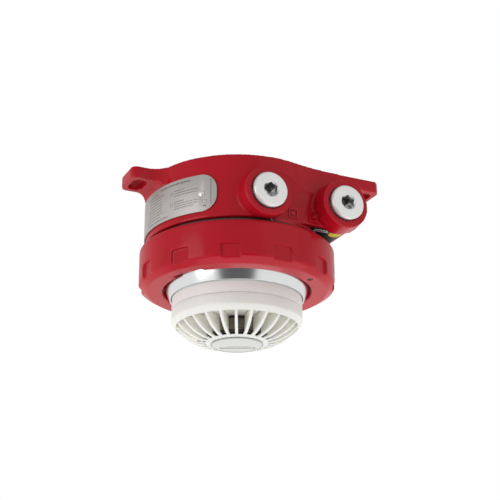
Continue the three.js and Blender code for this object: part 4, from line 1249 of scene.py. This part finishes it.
def slotted_head(name, radius, height, shank, length):
    """A domed screw head facing -Z with a driver slot, and its shank going up."""
    screw = turned(name, [
        (0, length, 0), (shank, length, 0.2), (shank, 0, 0), (radius, 0, 0.1),
        (radius, -height * 0.5, height * 0.4), (radius * 0.55, -height * 0.95, height * 0.5),
        (0, -height, 0)], SMALL_ROUND)
    return cut(screw, block("slot", (-radius - 1, -0.45, -height - 1), (radius + 1, 0.45, -height * 0.45)))


def screw(node, name, radius, height, shank, slot_name, material):
    top, foot = cad_ends(node)
    seat = foot + height
    piece = over(node, slotted_head(name, radius, height, shank, top - seat), seat)
    finished(piece, "housing", slot_name, material, node)


# node and piece, how many, and head radius, head height and shank radius in millimetres
NICKEL_SCREWS = (
    ("base_screw", "base_fixing", 2, 3.6, 2.2, 1.9),
    ("base_terminal_screw", "contact_screw", 4, 2.7, 1.6, 1.6),
    ("board_screw", "board_fixing", 3, 3.0, 2.2, 1.5),
)


class DETECTOR_OT_fasteners(bpy.types.Operator):
    """Screws, earth terminals and the cover's set screw"""
    bl_idname = "detector.fasteners"
    bl_label = "Fasteners"

    def execute(self, context):
        top, foot = cad_ends("cover_set_screw")
        lock = turned("set_screw", [(0, top, 0), (2, top, 0.3), (2, foot, 0.3), (0, foot, 0)], SMALL_ROUND)
        socket = extruded("socket", hexagon(2), foot - 1, foot + 2)
        cut(over("cover_set_screw", lock), over("cover_set_screw", socket))
        finished(lock, "cover_lock", "black_steel", "black_steel", "cover_set_screw", smooth=40)

        for node, name, count, radius, height, shank in NICKEL_SCREWS:
            for which, piece in zip(numbered(node, count), numbered(name, count)):
                screw(which, piece, radius, height, shank, "nickel", "bright_nickel")
        screw("inner_earth_screw", "inner_earth", 4.0, 2.6, 2.0, "brass", "brass")

        reach = EARTH["radius"] + EARTH["lift"]
        earth = spun(slotted_head("outer_earth", 4.0, 2.6, 2.0, 7), 180, "X")
        facing_out(earth, EARTH["angle"], reach + 1.8, EARTH["height"])
        finished(earth, "housing", "brass", "brass", "outer_earth_screw")
        washer = turned("outer_earth_plate", [
            (2.3, 1.2, 0.15), (4.8, 1.2, 0.25), (4.8, 0, 0.15), (2.3, 0, 0.1)], 64)
        facing_out(washer, EARTH["angle"], reach + 0.3, EARTH["height"])
        finished(washer, "housing", "nickel", "bright_nickel", "outer_earth_washer")
        return {"FINISHED"}


KEPT_NODES = {
    "brass": numbered("base_contact", 4),
    "bright_nickel": numbered("board_standoff", 3) + ["inner_earth_washer"],
    "black_steel": numbered("carrier_screw", 3),
    "green_board": ["terminal_board"],
    "grey_plastic": numbered("terminal_block", 2),
    "black_plastic": ["sensing_chamber"],
}


class DETECTOR_OT_kept_nodes(bpy.types.Operator):
    """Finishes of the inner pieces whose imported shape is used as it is"""
    bl_idname = "detector.kept_nodes"
    bl_label = "Inner pieces"

    def execute(self, context):
        for material, nodes in KEPT_NODES.items():
            for node in nodes:
                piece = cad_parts[node]
                if not piece.material_slots:
                    piece.data.materials.append(MATERIALS[material])
                for slot in piece.material_slots:
                    slot.material = MATERIALS[material]
        return {"FINISHED"}


# place, width, height and power in metres and watts; every light is aimed at the heart of the object
HEART = (0, 0, -0.06)
SOFTBOXES = {
    "left_softbox": ((-1.2, -0.3, -0.1), 0.6, 1.0, 4.0),
    "right_softbox": ((0.6, -1.2, 0.5), 1.1, 1.1, 1.0),
    "low_softbox": ((0.2, 0.0, -0.88), 0.9, 0.9, 2.8),
}


def softbox(name, place, width, height, power):
    light = bpy.data.lights.new(name, "AREA")
    light.shape = "RECTANGLE"
    light.size, light.size_y = width, height
    light.energy = power
    lamp = bpy.data.objects.new(name, light)
    bpy.context.scene.collection.objects.link(lamp)
    lamp.location = place
    lamp.rotation_euler = (Vector(HEART) - Vector(place)).to_track_quat("-Z", "Y").to_euler()


def white_tent(towards):
    """White seen directly; reflections see pale walls, a darker top and a dark patch in one direction."""
    world = bpy.data.worlds.new("white_tent")
    world.use_nodes = True
    tree = world.node_tree
    tree.nodes.clear()
    around = tree.nodes.new("ShaderNodeTexCoord").outputs["Generated"]
    facing = vector_maths(tree, "DOT_PRODUCT", around, 1, towards)
    split = tree.nodes.new("ShaderNodeSeparateXYZ")
    feed(tree, split.inputs[0], around)
    above = remap(tree, split.outputs["Z"], 0.0, 1.0, 0.0, 0.9)
    walls = mixed(tree, above, (0.93, 0.93, 0.92, 1), (0.30, 0.30, 0.30, 1))
    dark = remap(tree, facing.outputs["Value"], 0.0, 1.0, 0.84, 0.91)
    tent = add_node(tree, "ShaderNodeBackground", in_Strength=1.0)
    feed(tree, tent.inputs["Color"], mixed(tree, dark, walls, (0.11, 0.11, 0.11, 1)))
    seen = add_node(tree, "ShaderNodeBackground", in_Color=(1, 1, 1, 1), in_Strength=1.0)
    mix = tree.nodes.new("ShaderNodeMixShader")
    feed(tree, mix.inputs[0], tree.nodes.new("ShaderNodeLightPath").outputs["Is Camera Ray"])
    feed(tree, mix.inputs[1], tent.outputs[0])
    feed(tree, mix.inputs[2], seen.outputs[0])
    feed(tree, tree.nodes.new("ShaderNodeOutputWorld").inputs["Surface"], mix.outputs[0])
    return world


class DETECTOR_OT_stage(bpy.types.Operator):
    """Pale floor, white surroundings, soft lights and the camera"""
    bl_idname = "detector.stage"
    bl_label = "Stage"

    def execute(self, context):
        scene, stage = context.scene, context.scene.detector_stage
        bm = bmesh.new()
        rim = [polar(stage.floor_radius * MM, 360 * k / ROUND) for k in range(ROUND)]
        bm.faces.new([bm.verts.new((x, y, stage.floor_height * MM)) for x, y in rim])
        floor = piece_from(bm, "floor")
        paper = plain_finish(
            "floor_paper", (0.86, 0.86, 0.85), (0.7, 0.8), drift=0.01, drift_scale=2.0, bump=0.02)
        paper["Emission Color"].default_value = (1, 1, 1, 1)
        paper["Emission Strength"].default_value = 0.25
        floor.data.materials.append(MATERIALS["floor_paper"])

        scene.world = white_tent(Vector(stage.place).normalized())
        for name, settings in SOFTBOXES.items():
            softbox(name, *settings)

        camera = bpy.data.cameras.new("camera")
        camera.lens = stage.lens
        camera.sensor_width = 36
        camera.clip_end = 20
        holder = bpy.data.objects.new("camera", camera)
        scene.collection.objects.link(holder)
        holder.matrix_world = (
            Matrix.Translation(stage.place)
            @ Matrix.Rotation(-stage.heading, 4, "Z")
            @ Matrix.Rotation(math.radians(90) + stage.pitch, 4, "X")
            @ Matrix.Rotation(stage.roll, 4, "Z"))
        scene.camera = holder
        scene.view_settings.view_transform = "Standard"
        return {"FINISHED"}


OPERATORS = (
    DETECTOR_OT_materials, DETECTOR_OT_enclosure, DETECTOR_OT_cover, DETECTOR_OT_seals, DETECTOR_OT_plugs,
    DETECTOR_OT_nameplate, DETECTOR_OT_tag, DETECTOR_OT_carrier, DETECTOR_OT_base, DETECTOR_OT_head,
    DETECTOR_OT_head_inside, DETECTOR_OT_head_details, DETECTOR_OT_fasteners, DETECTOR_OT_kept_nodes,
    DETECTOR_OT_stage)
SETTINGS = {
    "detector_enclosure": EnclosureSizes,
    "detector_cover": CoverSizes,
    "detector_head": HeadSizes,
    "detector_finishes": Finishes,
    "detector_stage": StageSettings,
}


class DETECTOR_PT_panel(bpy.types.Panel):
    """Lists the detector's settings and the operators that build it"""
    bl_label = "Heat Detector"
    bl_space_type = "VIEW_3D"
    bl_region_type = "UI"
    bl_category = "Detector"

    def draw(self, context):
        for name in SETTINGS:
            group = getattr(context.scene, name)
            box = self.layout.box()
            for prop in group.bl_rna.properties.keys():
                if prop not in ("rna_type", "name"):
                    box.prop(group, prop)
        for operator in OPERATORS:
            self.layout.operator(operator.bl_idname)


def register():
    for group in SETTINGS.values():
        bpy.utils.register_class(group)
    for name, group in SETTINGS.items():
        setattr(bpy.types.Scene, name, bpy.props.PointerProperty(type=group))
    for operator in OPERATORS:
        bpy.utils.register_class(operator)
    bpy.utils.register_class(DETECTOR_PT_panel)


def unregister():
    bpy.utils.unregister_class(DETECTOR_PT_panel)
    for operator in reversed(OPERATORS):
        bpy.utils.unregister_class(operator)
    for name, group in SETTINGS.items():
        delattr(bpy.types.Scene, name)
        bpy.utils.unregister_class(group)


def main():
    register()
    for operator in OPERATORS:
        area, name = operator.bl_idname.split(".")
        getattr(getattr(bpy.ops, area), name)()


if __name__ == "__main__":
    main()
